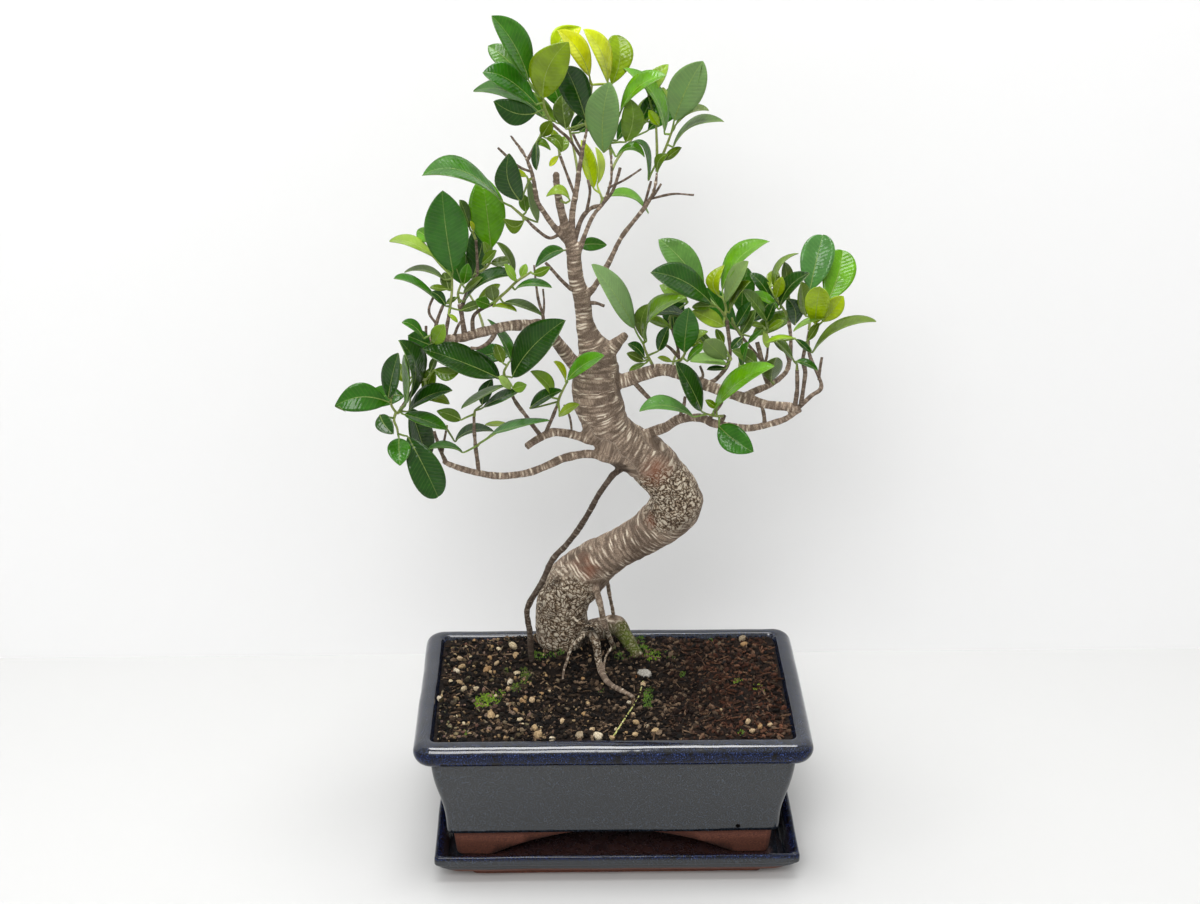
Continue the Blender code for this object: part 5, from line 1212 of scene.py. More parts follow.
        Leaf((752, 336), (796, 312), 18, "olive", (775, 322)),
    )),
    Spray("spray_back_right_near", 4.2, 1, (((672, 371, -6), (674, 360, 14), (680, 344, 26)),), (
        Leaf((683, 336), (688, 308), 20, "mid"), Leaf((676, 334), (672, 284), 24, "dark", (672, 308)),
        Leaf((690, 346), (708, 336), 12, "olive"),
    )),
    Spray("spray_back_crown", 2.4, 1, (((576, 192, 12), (578, 176, 26), (574, 150, 38), (568, 124, 44)),), (
        Leaf((562, 108), (550, 58), 28, "mid", (553, 82)), Leaf((574, 112), (574, 76), 22, "dark"),
        Leaf((580, 132), (604, 96), 26, "mid", (596, 114)),
        Leaf((556, 122), (514, 92), 18, "olive", (534, 104)),
    )),
    Spray("spray_back_crown_right", 1.8, 1, (((611, 172, -5), (618, 158, 14), (634, 136, 26)),), (
        Leaf((638, 128), (650, 96), 16, "olive"), Leaf((648, 130), (688, 82), 26, "mid", (674, 102)),
    )),
)

# %% [markdown]
# A photograph gives each leaf's outline but not its depth. A fig leaf is about twice as long as it is broad, so
# a leaf that looks short is tipped towards or away from the eye, and one that looks narrow is rolled about its
# midrib. These few lines turn what is seen into a base, a middle and a tip in space, and a facing direction.

# %% From what is seen to a leaf in space
NATURAL_SLENDERNESS = 2.1
LONGEST_LEAF = 60.0
BEND_BULGE = 0.06
STALK_LIFT = 2.4
STALK_DRIFT = 0.3
SHOOT_BARE = 0.45
SEAT_MM = 0.36


def between(pair, share):
    """The point this share of the way from one end of a pair to the other."""
    return tuple(a + (b - a) * share for a, b in zip(*pair))


def carrier(spray, leaf):
    """The sight point on the spray's shoots that is nearest to the leaf's base in the view."""
    found = []
    for shoot in spray.shoots:
        bare = SHOOT_BARE
        for pair in zip(shoot, shoot[1:]):
            found += [between(pair, bare + (0.95 - bare) * step / 6) for step in range(7)]
            bare = 0
    return min(found, key=lambda point: math.dist(point[:2], leaf.base))


def leaf_line(spray, leaf):
    """A leaf's base, middle and tip as places, and its breadth in the view, in metres."""
    lean = leaf.lean or spray.lean
    stem = carrier(spray, leaf)
    seen_length = math.dist(leaf.base, leaf.tip) * SIGHT_MM
    seen_breadth = leaf.wide * SIGHT_MM
    length = min(max(1.02 * seen_length, 1.8 * seen_breadth), LONGEST_LEAF)
    reach = math.sqrt(max(length ** 2 - seen_length ** 2, (0.2 * seen_length) ** 2))
    start = stem[2] + lean * (STALK_LIFT + STALK_DRIFT * math.dist(stem[:2], leaf.base) * SIGHT_MM)
    end = start + lean * reach
    bend = leaf.bend or between((leaf.base, leaf.tip), 0.5)
    middle = (start + end) / 2 - BEND_BULGE * seen_length
    return (sighted((*leaf.base, start)), sighted((*bend, middle)), sighted((*leaf.tip, end)),
            seen_breadth * MM)


def leaf_frame(spray, leaf):
    """The leaf's midrib as a function of the share of its length, its normal, its side and half its breadth."""
    base, middle, tip, seen_breadth = leaf_line(spray, leaf)
    pull = 2 * middle - (base + tip) / 2

    def midrib(share):
        return base * (1 - share) ** 2 + pull * 2 * share * (1 - share) + tip * share ** 2

    axis = (tip - base).normalized()
    sight = EYE - middle
    sight = (sight - axis * sight.dot(axis)).normalized()
    level = axis.cross(sight)
    breadth = max(seen_breadth, (tip - base).length / NATURAL_SLENDERNESS)
    turned = math.acos(max(seen_breadth / breadth, 0.2))
    if leaf.under:
        turned = math.pi - turned
    choices = [(sight * math.cos(turn) - level * math.sin(turn), turn) for turn in (turned, -turned)]
    normal, turn = max(choices, key=lambda choice: choice[0].z)
    side = level * math.cos(turn) + sight * math.sin(turn)
    return midrib, normal, side, breadth / 2


print("leaves:", sum(len(spray.leaves) for spray in SPRAYS), "on", len(SPRAYS), "stems")

# %% [markdown]
# A blade starts as a flat grid. Its outline narrows to a point at both ends, it folds up a little along the
# midrib, and its edge waves. The grid is then given its thickness, the underside gets its own finish, and the
# stalk runs on under the blade as the raised midrib. Every point carries leaf_co: how far it is from the
# midrib and from the base in millimetres, and how near the edge, which is what the veins are drawn from.

# %% One leaf
BLADE_COLUMNS = 8
BLADE_ROWS = 22
BLADE_THICK = 0.00045
STALK_RADIUS = 0.00072
OUTLINES = {"pointed": (0.86, 0.84), "blunt": (0.78, 0.50)}
BLUNT_TIPS = {(617, 35), (823, 235), (843, 250), (820, 287), (438, 497), (565, 67), (708, 336), (697, 262)}


def breadth_share(share, outline_kind):
    """How broad the blade is there, as a share of its greatest breadth."""
    rise, fall = OUTLINES[outline_kind]
    widest = rise / (rise + fall)
    return (share / widest) ** rise * ((1 - share) / (1 - widest)) ** fall


def leaf_shape(spray, leaf, colour, chance):
    """The blade and its stalk as one bmesh: top in finish 0, underside in finish 1, stalk in finish 2."""
    midrib, normal, side, half = leaf_frame(spray, leaf)
    length = (midrib(1) - midrib(0)).length
    kind = "blunt" if leaf.tip in BLUNT_TIPS else "pointed"
    fold = chance.uniform(0.14, 0.30)
    twist = chance.uniform(-0.16, 0.16)
    wave = chance.uniform(0.012, 0.030) * half / 0.011
    beat, phase = chance.uniform(0.9, 1.7), chance.uniform(0, math.tau)
    shape = bmesh.new()
    where = shape.verts.layers.float_vector.new("leaf_co")
    tint = shape.verts.layers.float_color.new("leaf_colour")
    bmesh.ops.create_grid(shape, x_segments=BLADE_COLUMNS, y_segments=BLADE_ROWS, size=1)
    for corner in shape.verts:
        across = corner.co.x
        share = 0.5 - 0.5 * math.cos(math.pi * (corner.co.y + 1) / 2)
        broad = half * breadth_share(share, kind)
        along = (midrib(min(share + 0.02, 1)) - midrib(max(share - 0.02, 0))).normalized()
        up = (normal - along * normal.dot(along)).normalized()
        out = (side * math.cos(twist * (share - 0.4)) + up * math.sin(twist * (share - 0.4)))
        edge = abs(across)
        lift = broad * fold * edge ** 1.4
        lift += half * wave * edge ** 2 * math.sin(math.tau * beat * share + phase + (1.9 if across > 0 else 0))
        lift -= 0.00022 * math.exp(-(edge * broad / 0.0007) ** 2)
        corner.co = midrib(share) + out * across * broad + up * lift
        corner[where] = (across * broad / MM, share * length / MM, edge)
        corner[tint] = colour
    bmesh.ops.remove_doubles(shape, verts=shape.verts[:], dist=1e-6)
    shape.normal_update()
    bmesh.ops.solidify(shape, geom=shape.faces[:], thickness=BLADE_THICK)
    bmesh.ops.recalc_face_normals(shape, faces=shape.faces[:])
    for face in shape.faces:
        face.material_index = 0 if face.normal.dot(normal) > 0.15 else 1
    # The stalk, and the midrib that it becomes
    stem = sighted(carrier(spray, leaf))
    knee = stem.lerp(midrib(0), 0.6) - normal * 0.0006
    ridge = [midrib(share) - normal * 0.00035 for share in (0.0, 0.12, 0.35, 0.6, 0.86)]
    line = smooth_line([stem, knee] + ridge, 4)
    stalk = tube(line, spread(STALK_RADIUS, 0.00018, len(line)), TWIG_ROUND)
    for layer, value in (("leaf_co", (0, 0, 0)), ("leaf_colour", colour)):
        kinds = stalk.verts.layers.float_vector if layer == "leaf_co" else stalk.verts.layers.float_color
        held = kinds.new(layer)
        for corner in stalk.verts:
            corner[held] = value
    for face in stalk.faces:
        face.material_index = 2
    return joined(shape, stalk)


# %% [markdown]
# The leaf's top has a thick, clear wax layer, so it shines like varnish over the green. Its midrib and its
# thin edge are paler, and faint side veins run out at a steep angle, 2.6 mm apart. The underside has no wax:
# it is matt and paler, and the veins stand out more. New leaves are yellow-green and old ones a dark green.
# The tones also carry painted light: lighter for leaves lit on and through, darker for leaves in shade.

# %% Leaf finishes
VEIN_MM = 2.6
QUILT_MM = 5.0
VEIN_SLOPE = 0.62
EDGE_SHARE = 0.955
# Each tone is partly the leaf's own green and partly painted light: bright and gold are lighter for light on
# and through the leaf, and dark is darker as painted shade
TONES = {"dark": "#1c4607", "mid": "#2e6809", "fresh": "#4c880e", "bright": "#589203", "lime": "#8fae05",
         "olive": "#567604", "grey": "#4a6422", "pale": "#7c9e2e", "matte": "#54863a", "yellow": "#bccb12",
         "gold": "#728e05"}


def leaf_finish(name, paler, roughness, wax, own_shine):
    """A leaf's skin. paler washes the colour out, as on the underside, wax is the clear layer on top, and
    own_shine is what the skin below the wax reflects."""
    made, put, shader = finish_named(name)
    colour = put("Attribute", attribute_name="leaf_colour").outputs["Color"]
    where = put("Attribute", attribute_name="leaf_co").outputs["Vector"]
    parts = put("SeparateXYZ", {"Vector": where})
    place = put("TexCoord").outputs["Object"]
    mottle = put("TexNoise", {"Vector": place, "Scale": per_metre(9), "Detail": 3.0})
    shade = put("ValToRGB", {"Fac": mottle}, stops=((0.32, "#d4d4d4"), (0.68, "#ffffff")))
    blade = put("Mix", {"Factor": 1.0, "A": colour, "B": shade}, blend_type="MULTIPLY")
    washed = put("Mix", {"Factor": paler, "A": blade, "B": linear("#a9bd8c")})
    apart = put("Math ABSOLUTE", {0: parts.outputs["X"]})
    # Side veins: lines that leave the midrib at a slope, one each VEIN_MM
    sloped = put("Math MULTIPLY_ADD", {0: apart, 1: -VEIN_SLOPE, 2: parts.outputs["Y"]})
    beat = put("Math MULTIPLY", {0: sloped, 1: math.tau / VEIN_MM})
    crest = put("Math COSINE", {0: beat})
    vein = put("MapRange", {"Value": crest}, span=(0.72, 1.0))
    rib = put("MapRange", {"Value": apart}, span=(0.08, 0.28, 1.0, 0.0))
    edge = put("MapRange", {"Value": parts.outputs["Z"]}, span=(EDGE_SHARE, 1.0))
    veined = put("Math MULTIPLY", {0: vein, 1: 0.20 + paler * 0.4})
    lines = put("Math MAXIMUM", {0: veined, 1: rib})
    rimmed = put("Math MULTIPLY", {0: edge, 1: 0.55})
    drawn = put("Math MAXIMUM", {0: lines, 1: rimmed})
    weaker = put("Math MULTIPLY", {0: drawn, 1: 0.30 + paler * 0.4})
    light = put("Mix", {"Factor": 0.55, "A": colour, "B": linear("#bcd070")})
    seen = put("Mix", {"Factor": weaker, "A": washed, "B": light})
    feed(shader, {"Base Color": seen})
    quilt = put("Bump", {"Height": crest, "Strength": 0.10, "Distance": 0.0005})
    sunk = put("Bump", {"Height": rib, "Strength": 0.25, "Distance": 0.0003, "Normal": quilt},
               invert=paler < 0.2)
    # The blade is a little quilted, which breaks its shine into patches
    dents = put("TexNoise", {"Vector": place, "Scale": per_metre(QUILT_MM), "Detail": 2.0})
    uneven = put("Bump", {"Height": dents, "Strength": 0.5, "Distance": 0.0011, "Normal": sunk})
    feed(shader, {"Normal": uneven, "Coat Normal": uneven, "Specular IOR Level": own_shine,
                  "Roughness": roughness, "Coat Weight": wax, "Coat Roughness": 0.16, "IOR": 1.45})
    return made


leaf_top = leaf_finish("waxy fig leaf, upper side", 0.0, 0.40, 0.6, 0.05)
leaf_under = leaf_finish("fig leaf, underside", 0.28, 0.68, 0.0, 0.2)
leaf_stalk, put, shader = finish_named("green fig stalk")
colour = put("Attribute", attribute_name="leaf_colour").outputs["Color"]
place = put("TexCoord").outputs["Object"]
mottle = put("TexNoise", {"Vector": place, "Scale": per_metre(1.5), "Detail": 2.0})
sappy = put("ValToRGB", {"Fac": mottle}, stops=((0.35, "#6d7f35"), (0.65, "#93a653")))
stalk_mix = put("Mix", {"Factor": 0.65, "A": colour, "B": sappy})
feed(shader, {"Base Color": stalk_mix, "Roughness": 0.5})

# %% [markdown]
# Each leafy stem is one object: its shoots, and its leaves on their stalks. No two leaves of a tree are quite
# the same green, so each gets its tone with a small seeded change.

# %% All the leafy stems
SHOOT_RADIUS = 0.00095
SHOOT_COLOUR = "#7d7a45"


def changed(colour, chance):
    """The colour a little lighter or darker, and a little yellower or bluer."""
    red, green, blue, _ = linear(colour)
    light = chance.uniform(0.84, 1.18)
    warm = chance.uniform(0.88, 1.16)
    return (red * light * warm, green * light, blue * light / warm, 1)


chance = random.Random(27)
for spray in SPRAYS:
    shape = None
    for number, shoot in enumerate(spray.shoots):
        points = [sighted(point) for point in shoot]
        if number == 0:
            points[0] = points[0] + (points[1] - points[0]).normalized() * (spray.seat + SEAT_MM) * MM
        line = smooth_line(points, 5)
        stem = tube(line, spread(SHOOT_RADIUS * 1.05, SHOOT_RADIUS * 0.72, len(line)), TWIG_ROUND)
        held = stem.verts.layers.float_color.new("leaf_colour")
        stem.verts.layers.float_vector.new("leaf_co")
        for corner in stem.verts:
            corner[held] = linear(SHOOT_COLOUR)
        for face in stem.faces:
            face.material_index = 2
        shape = joined(shape, stem) if shape else stem
    for leaf in spray.leaves:
        shape = joined(shape, leaf_shape(spray, leaf, changed(TONES[leaf.tone], chance), chance))
    foliage = show(shape, spray.name.replace("spray", "leafy"), [leaf_top, leaf_under, leaf_stalk])
    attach(foliage, "root")
    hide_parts(spray.name)
print("leafy stems done")

# %% [markdown]
# Bonsai soil is sifted and gritty: dark bark and clay crumbs, pale pumice, and here a reddish patch of fibrous
# peat on the right. Its bed is a fine grid, set to the soil's height and roughened by two sizes of noise. Its
# rim is then drawn down the inside of the pot to make it a solid.

# %% The bed
SOIL_EDGE = 0.1015
MOUND_RISE = 0.0115
MOUND_REACH = 0.050
LEVEL_BAND = 0.018
BED_INSET = 0.0127
BED_CORNER = 0.0052
BED_CELL = 0.0011
BED_BOTTOM = 0.043
trunk_foot = sighted((562, 645, 42))


def soil_height(x, y):
    """The solid soil's surface: nearly level, lumpy, and mounded round the trunk."""
    to_wall = min(POT_SIZE[0] / 2 - abs(x), POT_SIZE[1] / 2 - abs(y)) - RIM_WIDTH
    inside = min(max(to_wall / LEVEL_BAND, 0), 1)
    apart = math.hypot(x - trunk_foot.x, y - trunk_foot.y) / MOUND_REACH
    lumps = 0.0008 * math.sin(95 * x + 1.3) * math.cos(120 * y) + 0.0005 * math.sin(210 * x - 150 * y)
    return SOIL_EDGE + inside * (MOUND_RISE * math.exp(-apart * apart) + lumps)


def bed_height(x, y):
    """The rough surface: the solid's height with clods and crumbs on it."""
    clods = noise.noise(Vector((x, y, 0)) * per_metre(9)) * 0.0013
    crumbs = noise.noise(Vector((x, y, 0.3)) * per_metre(3.0)) * 0.0009
    return soil_height(x, y) + clods + crumbs - 0.0004


def on_soil(column, row, lift=0.0):
    """Where the line of sight meets the soil's surface."""
    depth = 0.0
    for _ in range(30):
        place = sighted((column, row, depth))
        depth += (place.z - soil_height(place.x, place.y)) / MM
    return Vector((place.x, place.y, bed_height(place.x, place.y) + lift))


def inside_bed(x, y, inset):
    """The place pulled in to a rounded rectangle, this far inside the pot's outline."""
    half = (POT_SIZE[0] / 2 - inset, POT_SIZE[1] / 2 - inset)
    x, y = min(max(x, -half[0]), half[0]), min(max(y, -half[1]), half[1])
    out = Vector((max(abs(x) - half[0] + BED_CORNER, 0), max(abs(y) - half[1] + BED_CORNER, 0)))
    if out.x and out.y and out.length > BED_CORNER:
        out = out.normalized() * BED_CORNER
        x = math.copysign(half[0] - BED_CORNER + out.x, x)
        y = math.copysign(half[1] - BED_CORNER + out.y, y)
    return x, y


shape = bmesh.new()
bed_size = (POT_SIZE[0] - 2 * BED_INSET, POT_SIZE[1] - 2 * BED_INSET)
columns, rows = (round(side / BED_CELL) for side in bed_size)
bmesh.ops.create_grid(shape, x_segments=columns, y_segments=rows, size=0.5)
for corner in shape.verts:
    x, y = inside_bed(corner.co.x * bed_size[0], corner.co.y * bed_size[1], BED_INSET)
    corner.co = (x, y, bed_height(x, y))
bmesh.ops.remove_doubles(shape, verts=shape.verts[:], dist=1e-5)
rim_edges = [edge for edge in shape.edges if edge.is_boundary]
drawn = bmesh.ops.extrude_edge_only(shape, edges=rim_edges)["geom"]
lower = [item for item in drawn if isinstance(item, bmesh.types.BMVert)]
for corner in lower:
    corner.co.x, corner.co.y = inside_bed(corner.co.x, corner.co.y, WALL_FLOOR + 0.0009)
    corner.co.z = BED_BOTTOM
bmesh.ops.holes_fill(shape, edges=[edge for edge in shape.edges if edge.is_boundary], sides=0)
bmesh.ops.recalc_face_normals(shape, faces=shape.faces[:])
print("soil bed:", len(shape.faces), "faces")

# %% [markdown]
# Damp crumbs are nearly black, dry ones brown. Their finish reads the colour that each grain carries, and adds
# a fine grit. The same finish serves the bed, so that no bare ground shows between the grains.

# %% Soil finish
GRIT_MM = 0.8


def earthy(name, dark, light, roughness=0.95):
    """A gritty, dull finish. The grain's own colour is multiplied by grit between dark and light."""
    made, put, shader = finish_named(name)
    own = put("Attribute", attribute_name="grain_colour").outputs["Color"]
    place = put("TexCoord").outputs["Object"]
    grit = put("TexNoise", {"Vector": place, "Scale": per_metre(GRIT_MM), "Detail": 4.0, "Roughness": 0.7})
    shade = put("ValToRGB", {"Fac": grit}, stops=((0.32, dark), (0.68, light)))
    seen = put("Mix", {"Factor": 1.0, "A": own, "B": shade}, blend_type="MULTIPLY")
    feed(shader, {"Base Color": seen})
    rough = put("Bump", {"Height": grit, "Strength": 0.9, "Distance": 0.0006})
    feed(shader, {"Normal": rough, "Roughness": roughness, "Specular IOR Level": 0.25})
    return made


def redness(x, y):
    """How much of the ground here is reddish peat: the right-hand third."""
    wander = noise.noise(Vector((x, y, 0.7)) * per_metre(16)) * 0.25
    return min(max((x - 0.035) / 0.05 + wander + 0.1, 0), 1)


def blended(first, second, share):
    """The colour this share of the way from the first to the second."""
    return tuple(a + (b - a) * share for a, b in zip(linear(first), linear(second)))


soil_finish = earthy("damp bonsai soil", "#5a5a5a", "#ffffff")
tint = shape.verts.layers.float_color.new("grain_colour")
for corner in shape.verts:
    patch = noise.noise(corner.co * per_metre(7)) * 0.5 + 0.5
    corner[tint] = blended("#1d1611", "#2c1d15", patch * 0.6 + redness(corner.co.x, corner.co.y) * 0.4)
bed = show(shape, "soil_bed", [soil_finish])
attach(bed, "root")
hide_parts("soil")

# %% [markdown]
# The grains are strewn over the bed. Each is a small lumpy ball with few faces, stretched and turned by
# chance, because it is repeated thousands of times: crumbs, thin splinters of bark, peat fibres and pumice.

# %% Strewing
BATCH = 150
TRUNK_CLEARANCE = 0.014
CRUMBS, CHUNKS, SPLINTERS, LOOSE_PUMICE = 5200, 560, 1900, 640
CRUMB_BROWNS = ("#0d0a08", "#15100c", "#2a2019", "#46372a", "#6b5745", "#8f7962", "#120e0b")
CRUMB_REDS = ("#4f2c1e", "#6d4230", "#2c1a13", "#8a5b44", "#1a110c")
CHUNK_BROWNS = ("#120e0b", "#1f1812", "#32271d", "#4a3b2e", "#0f0c0a")
CHUNK_REDS = ("#3c2318", "#5f3828", "#241610")
SPLINTER_BROWNS = ("#2a1e16", "#4a392b", "#715a45", "#1c1511", "#9a8066", "#130f0c")
SPLINTER_REDS = ("#55301f", "#704530", "#3c2318", "#8a6048")


def strewn(name, grains, finishes, ball=1):
    """One object from many grains: place, size along three axes, turn, colour and a share of raggedness."""
    chance = random.Random(len(grains))
    whole = bmesh.new()
    whole.verts.layers.float_color.new("grain_colour")
    for first in range(0, len(grains), BATCH):
        batch = bmesh.new()
        tint = batch.verts.layers.float_color.new("grain_colour")
        for place, size, turn, colour, ragged in grains[first:first + BATCH]:
            made = bmesh.ops.create_icosphere(batch, subdivisions=ball, radius=0.5)["verts"]
            for corner in made:
                corner.co *= 1 + chance.uniform(-ragged, ragged)
                corner.co = place + turn @ Vector(a * b for a, b in zip(corner.co, size))
                corner[tint] = colour
        whole = joined(whole, batch)
    strew = show(whole, name, finishes, False)
    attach(strew, "root")
    print(name, len(grains), "grains,", len(strew.data.polygons), "faces")
    return strew


def any_turn(chance, lying):
    """A random turn. lying 1 keeps the grain's long side level, 0 lets it point anywhere."""
    tip = chance.uniform(-1, 1) * (1 - lying) * math.pi / 2
    return (Matrix.Rotation(chance.uniform(0, math.tau), 3, "Z") @ Matrix.Rotation(tip, 3, "Y")
            @ Matrix.Rotation(chance.uniform(0, math.tau), 3, "X"))


def any_place(chance, lift):
    """A random place on the bed, clear of the pot's wall and of the trunk."""
    while True:
        x = chance.uniform(-0.5, 0.5) * (bed_size[0] - 0.004)
        y = chance.uniform(-0.5, 0.5) * (bed_size[1] - 0.004)
        held = inside_bed(x, y, BED_INSET + 0.002)
        clear = math.hypot(x - trunk_foot.x, y - trunk_foot.y) > TRUNK_CLEARANCE
        if clear and abs(held[0] - x) + abs(held[1] - y) < 1e-6:
            return Vector((x, y, bed_height(x, y) + lift))


chance = random.Random(5)
crumbs = []
for _ in range(CRUMBS):
    size = chance.uniform(0.0012, 0.0056) * chance.uniform(0.4, 1)
    place = any_place(chance, size * 0.22)
    red = redness(place.x, place.y)
    tan = min(max(-place.x / 0.12, 0), 1)
    tone = blended(chance.choice(CRUMB_BROWNS), chance.choice(CRUMB_REDS), red * chance.uniform(0.2, 1))
    tone = [part * (1 + 0.5 * tan * chance.random()) for part in tone[:3]] + [1]
    flat = chance.uniform(0.35, 0.8)
    sides = (size, size * chance.uniform(0.5, 0.9), size * flat)
    crumbs.append((place, sides, any_turn(chance, 0.45), tone, 0.26))
for _ in range(CHUNKS):
    size = chance.uniform(0.0040, 0.0075)
    place = any_place(chance, size * 0.12)
    red = redness(place.x, place.y)
    tone = blended(chance.choice(CHUNK_BROWNS), chance.choice(CHUNK_REDS), red * chance.random())
    sides = (size, size * chance.uniform(0.3, 0.7), size * chance.uniform(0.2, 0.4))
    crumbs.append((place, sides, any_turn(chance, 0.9), tone, 0.22))
strewn("soil_crumbs", crumbs, [soil_finish])

splinters = []
for _ in range(SPLINTERS):
    place = any_place(chance, 0.0011)
    red = redness(place.x, place.y)
    long = 0.0022 + 0.0085 * chance.random() ** 2.2
    thick = chance.uniform(0.00035, 0.0012)
    tone = blended(chance.choice(SPLINTER_BROWNS), chance.choice(SPLINTER_REDS),
                   red * chance.uniform(0.3, 1))
    sides = (long, thick * chance.uniform(1, 2.4), thick)
    splinters.append((place, sides, any_turn(chance, 0.88), tone, 0.16))
strewn("soil_splinters", splinters, [soil_finish])

# %% [markdown]
# The pumice lies mostly on the left and along the front edge. The larger stones are where the photograph
# shows them, and small ones are strewn between. Pumice is pale, tan where it is stained, and full of pores.

# %% Pumice
STONES = (
    (513, 648, 6.2), (516, 657, 4.6), (517, 674, 4.8), (510, 683, 5.0), (508, 690, 4.4), (460, 660, 4.6),
    (462, 668, 5.6), (457, 673, 5.4), (487, 671, 6.0), (497, 664, 4.2), (459, 684, 4.4), (464, 690, 4.6),
    (440, 700, 4.4), (477, 690, 5.0), (523, 703, 4.4), (532, 702, 5.2), (541, 695, 3.6), (549, 692, 3.0),
    (491, 716, 5.4), (481, 720, 4.0), (520, 721, 4.6), (535, 730, 5.6), (538, 737, 6.4), (562, 722, 4.6),
    (552, 739, 4.0), (580, 737, 6.0), (592, 730, 4.2), (598, 738, 6.2), (612, 740, 4.2), (635, 736, 4.6),
    (655, 732, 5.0), (633, 716, 3.4), (643, 686, 4.0), (636, 724, 4.8), (629, 703, 3.6), (647, 728, 3.4),
    (742, 640, 5.6), (744, 646, 4.6), (721, 710, 3.2), (748, 723, 4.0), (752, 732, 4.0), (770, 725, 3.6),
    (760, 729, 4.4), (588, 704, 3.4), (583, 680, 2.8), (516, 712, 3.8), (507, 705, 3.2), (474, 641, 3.6),
    (499, 649, 4.0), (490, 659, 3.4))
pumice_finish = earthy("stained pumice", "#96866e", "#ffffff", 0.9)
chance = random.Random(8)
stones = []
for column, row, size in STONES:
    size *= MM * 1.1
    tone = chance.choice(("#ceb48c", "#e3d3b2", "#bc9a70", "#efe4cc", "#dcc4a0", "#b5a68e"))
    turn = any_turn(chance, 0.5)
    sides = (size, size * 0.82, size * 0.62)
    stones.append((on_soil(column, row, size * 0.26), sides, turn, linear(tone), 0.14))
for _ in range(LOOSE_PUMICE):
    place = any_place(chance, 0.0009)
    edge = max(abs(place.y) / 0.07, 0) ** 3 * 0.3 if place.y < 0 else 0
    if chance.random() > 1.0 - (place.x + 0.115) / 0.125 + edge:
        continue
    size = chance.uniform(0.0014, 0.0040) * chance.uniform(0.6, 1)
    tone = chance.choice(("#cdb48c", "#b79a76", "#96805f", "#e3d3b0", "#9f8a6c", "#c3a377"))
    stones.append((place, (size, size * 0.8, size * 0.6), any_turn(chance, 0.4), linear(tone), 0.16))
strewn("pumice_stones", stones, [pumice_finish], 2)

# %% [markdown]
# Moss grows where it stays damp: at the foot of the trunk, and in a few bright cushions. A cushion is hundreds
# of tiny shoots, so each is a three-sided cone a millimetre or two high, leaning its own way.

# %% Moss
MOSS_FOOT = 0.00052
MOSS_TIP = 0.00010
# Each cushion: its column and row, its half width and half depth there in pixels, its shoots and its colour
MOSS = (
    (488, 700, 13, 6.5, 620, "#93bb22"), (480, 704, 6, 4, 150, "#9dc12c"), (500, 694, 5, 4, 130, "#84ad24"),
    (652, 655, 9, 6, 260, "#92c11c"), (643, 648, 6, 4, 130, "#739f1e"), (640, 640, 5, 4, 90, "#5f861e"),
    (634, 652, 7, 5, 130, "#7ba51f"), (622, 656, 8, 4, 120, "#5c7a20"),
    (629, 643, 8, 6, 120, "#5f861e"), (648, 700, 5, 10, 260, "#6f9820"), (650, 690, 4, 5, 60, "#5f861e"),
    (537, 656, 8, 4, 190, "#6f9820"), (549, 655, 7, 3, 130, "#6f9820"), (560, 652, 6, 3, 110, "#5f861e"),
    (525, 676, 9, 9, 260, "#6a8022"), (515, 688, 6, 5, 130, "#748c28"), (672, 655, 8, 4, 50, "#66862c"),
    (738, 681, 5, 2.5, 36, "#9dc12c"), (757, 687, 5, 2.5, 30, "#b5cc3a"), (763, 690, 4, 2, 16, "#b5cc3a"),
    (742, 733, 4, 3, 30, "#84ad24"), (682, 674, 3, 3, 24, "#739f1e"), (466, 733, 3, 2, 14, "#84ad24"),
    (508, 671, 5, 3, 26, "#6c7d2a"), (602, 692, 3, 2, 14, "#6f9820"), (711, 640, 3, 2, 12, "#84ad24"))
moss_finish, put, shader = finish_named("cushion moss")
own = put("Attribute", attribute_name="grain_colour").outputs["Color"]
place = put("TexCoord").outputs["Object"]
speck = put("TexNoise", {"Vector": place, "Scale": per_metre(1.2), "Detail": 2.0})
shade = put("ValToRGB", {"Fac": speck}, stops=((0.3, "#8a8a8a"), (0.7, "#ffffff")))
mossy = put("Mix", {"Factor": 1.0, "A": own, "B": shade}, blend_type="MULTIPLY")
feed(shader, {"Base Color": mossy, "Roughness": 0.85, "Sheen Weight": 0.3})

chance = random.Random(11)
whole = bmesh.new()
whole.verts.layers.float_color.new("grain_colour")
for column, row, wide, deep, count, colour in MOSS:
    cushion = bmesh.new()
    tint = cushion.verts.layers.float_color.new("grain_colour")
    for _ in range(count):
        swing, far = chance.uniform(0, math.tau), math.sqrt(chance.random())
        foot = on_soil(column + wide * far * math.cos(swing), row + deep * far * math.sin(swing))
        high = chance.uniform(0.0014, 0.0030) * (1.15 - 0.5 * far)
        made = bmesh.ops.create_cone(cushion, cap_ends=True, segments=3, radius1=MOSS_FOOT,
                                     radius2=MOSS_TIP, depth=high)
        lean = Matrix.Rotation(chance.uniform(-0.6, 0.6), 3, "X")
        lean @= Matrix.Rotation(chance.uniform(-0.6, 0.6), 3, "Y")
        light = chance.uniform(0.55, 1.25)
        red, green, blue, _ = linear(colour)
        for corner in made["verts"]:
            # Each shoot is lighter at its tip and darker at its foot: partly the fresher green of the tip, and
            # partly painted shade down in the cushion.
            tip = 1.25 if corner.co.z > 0 else 0.55
            corner[tint] = (red * light * tip, green * light * tip, blue * light * tip, 1)
            corner.co = foot + lean @ (corner.co + Vector((0, 0, high / 2 - 0.0003)))
    whole = joined(whole, cushion)
moss = show(whole, "moss_cushions", [moss_finish], False)
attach(moss, "root")
print("moss:", len(moss.data.polygons), "faces")

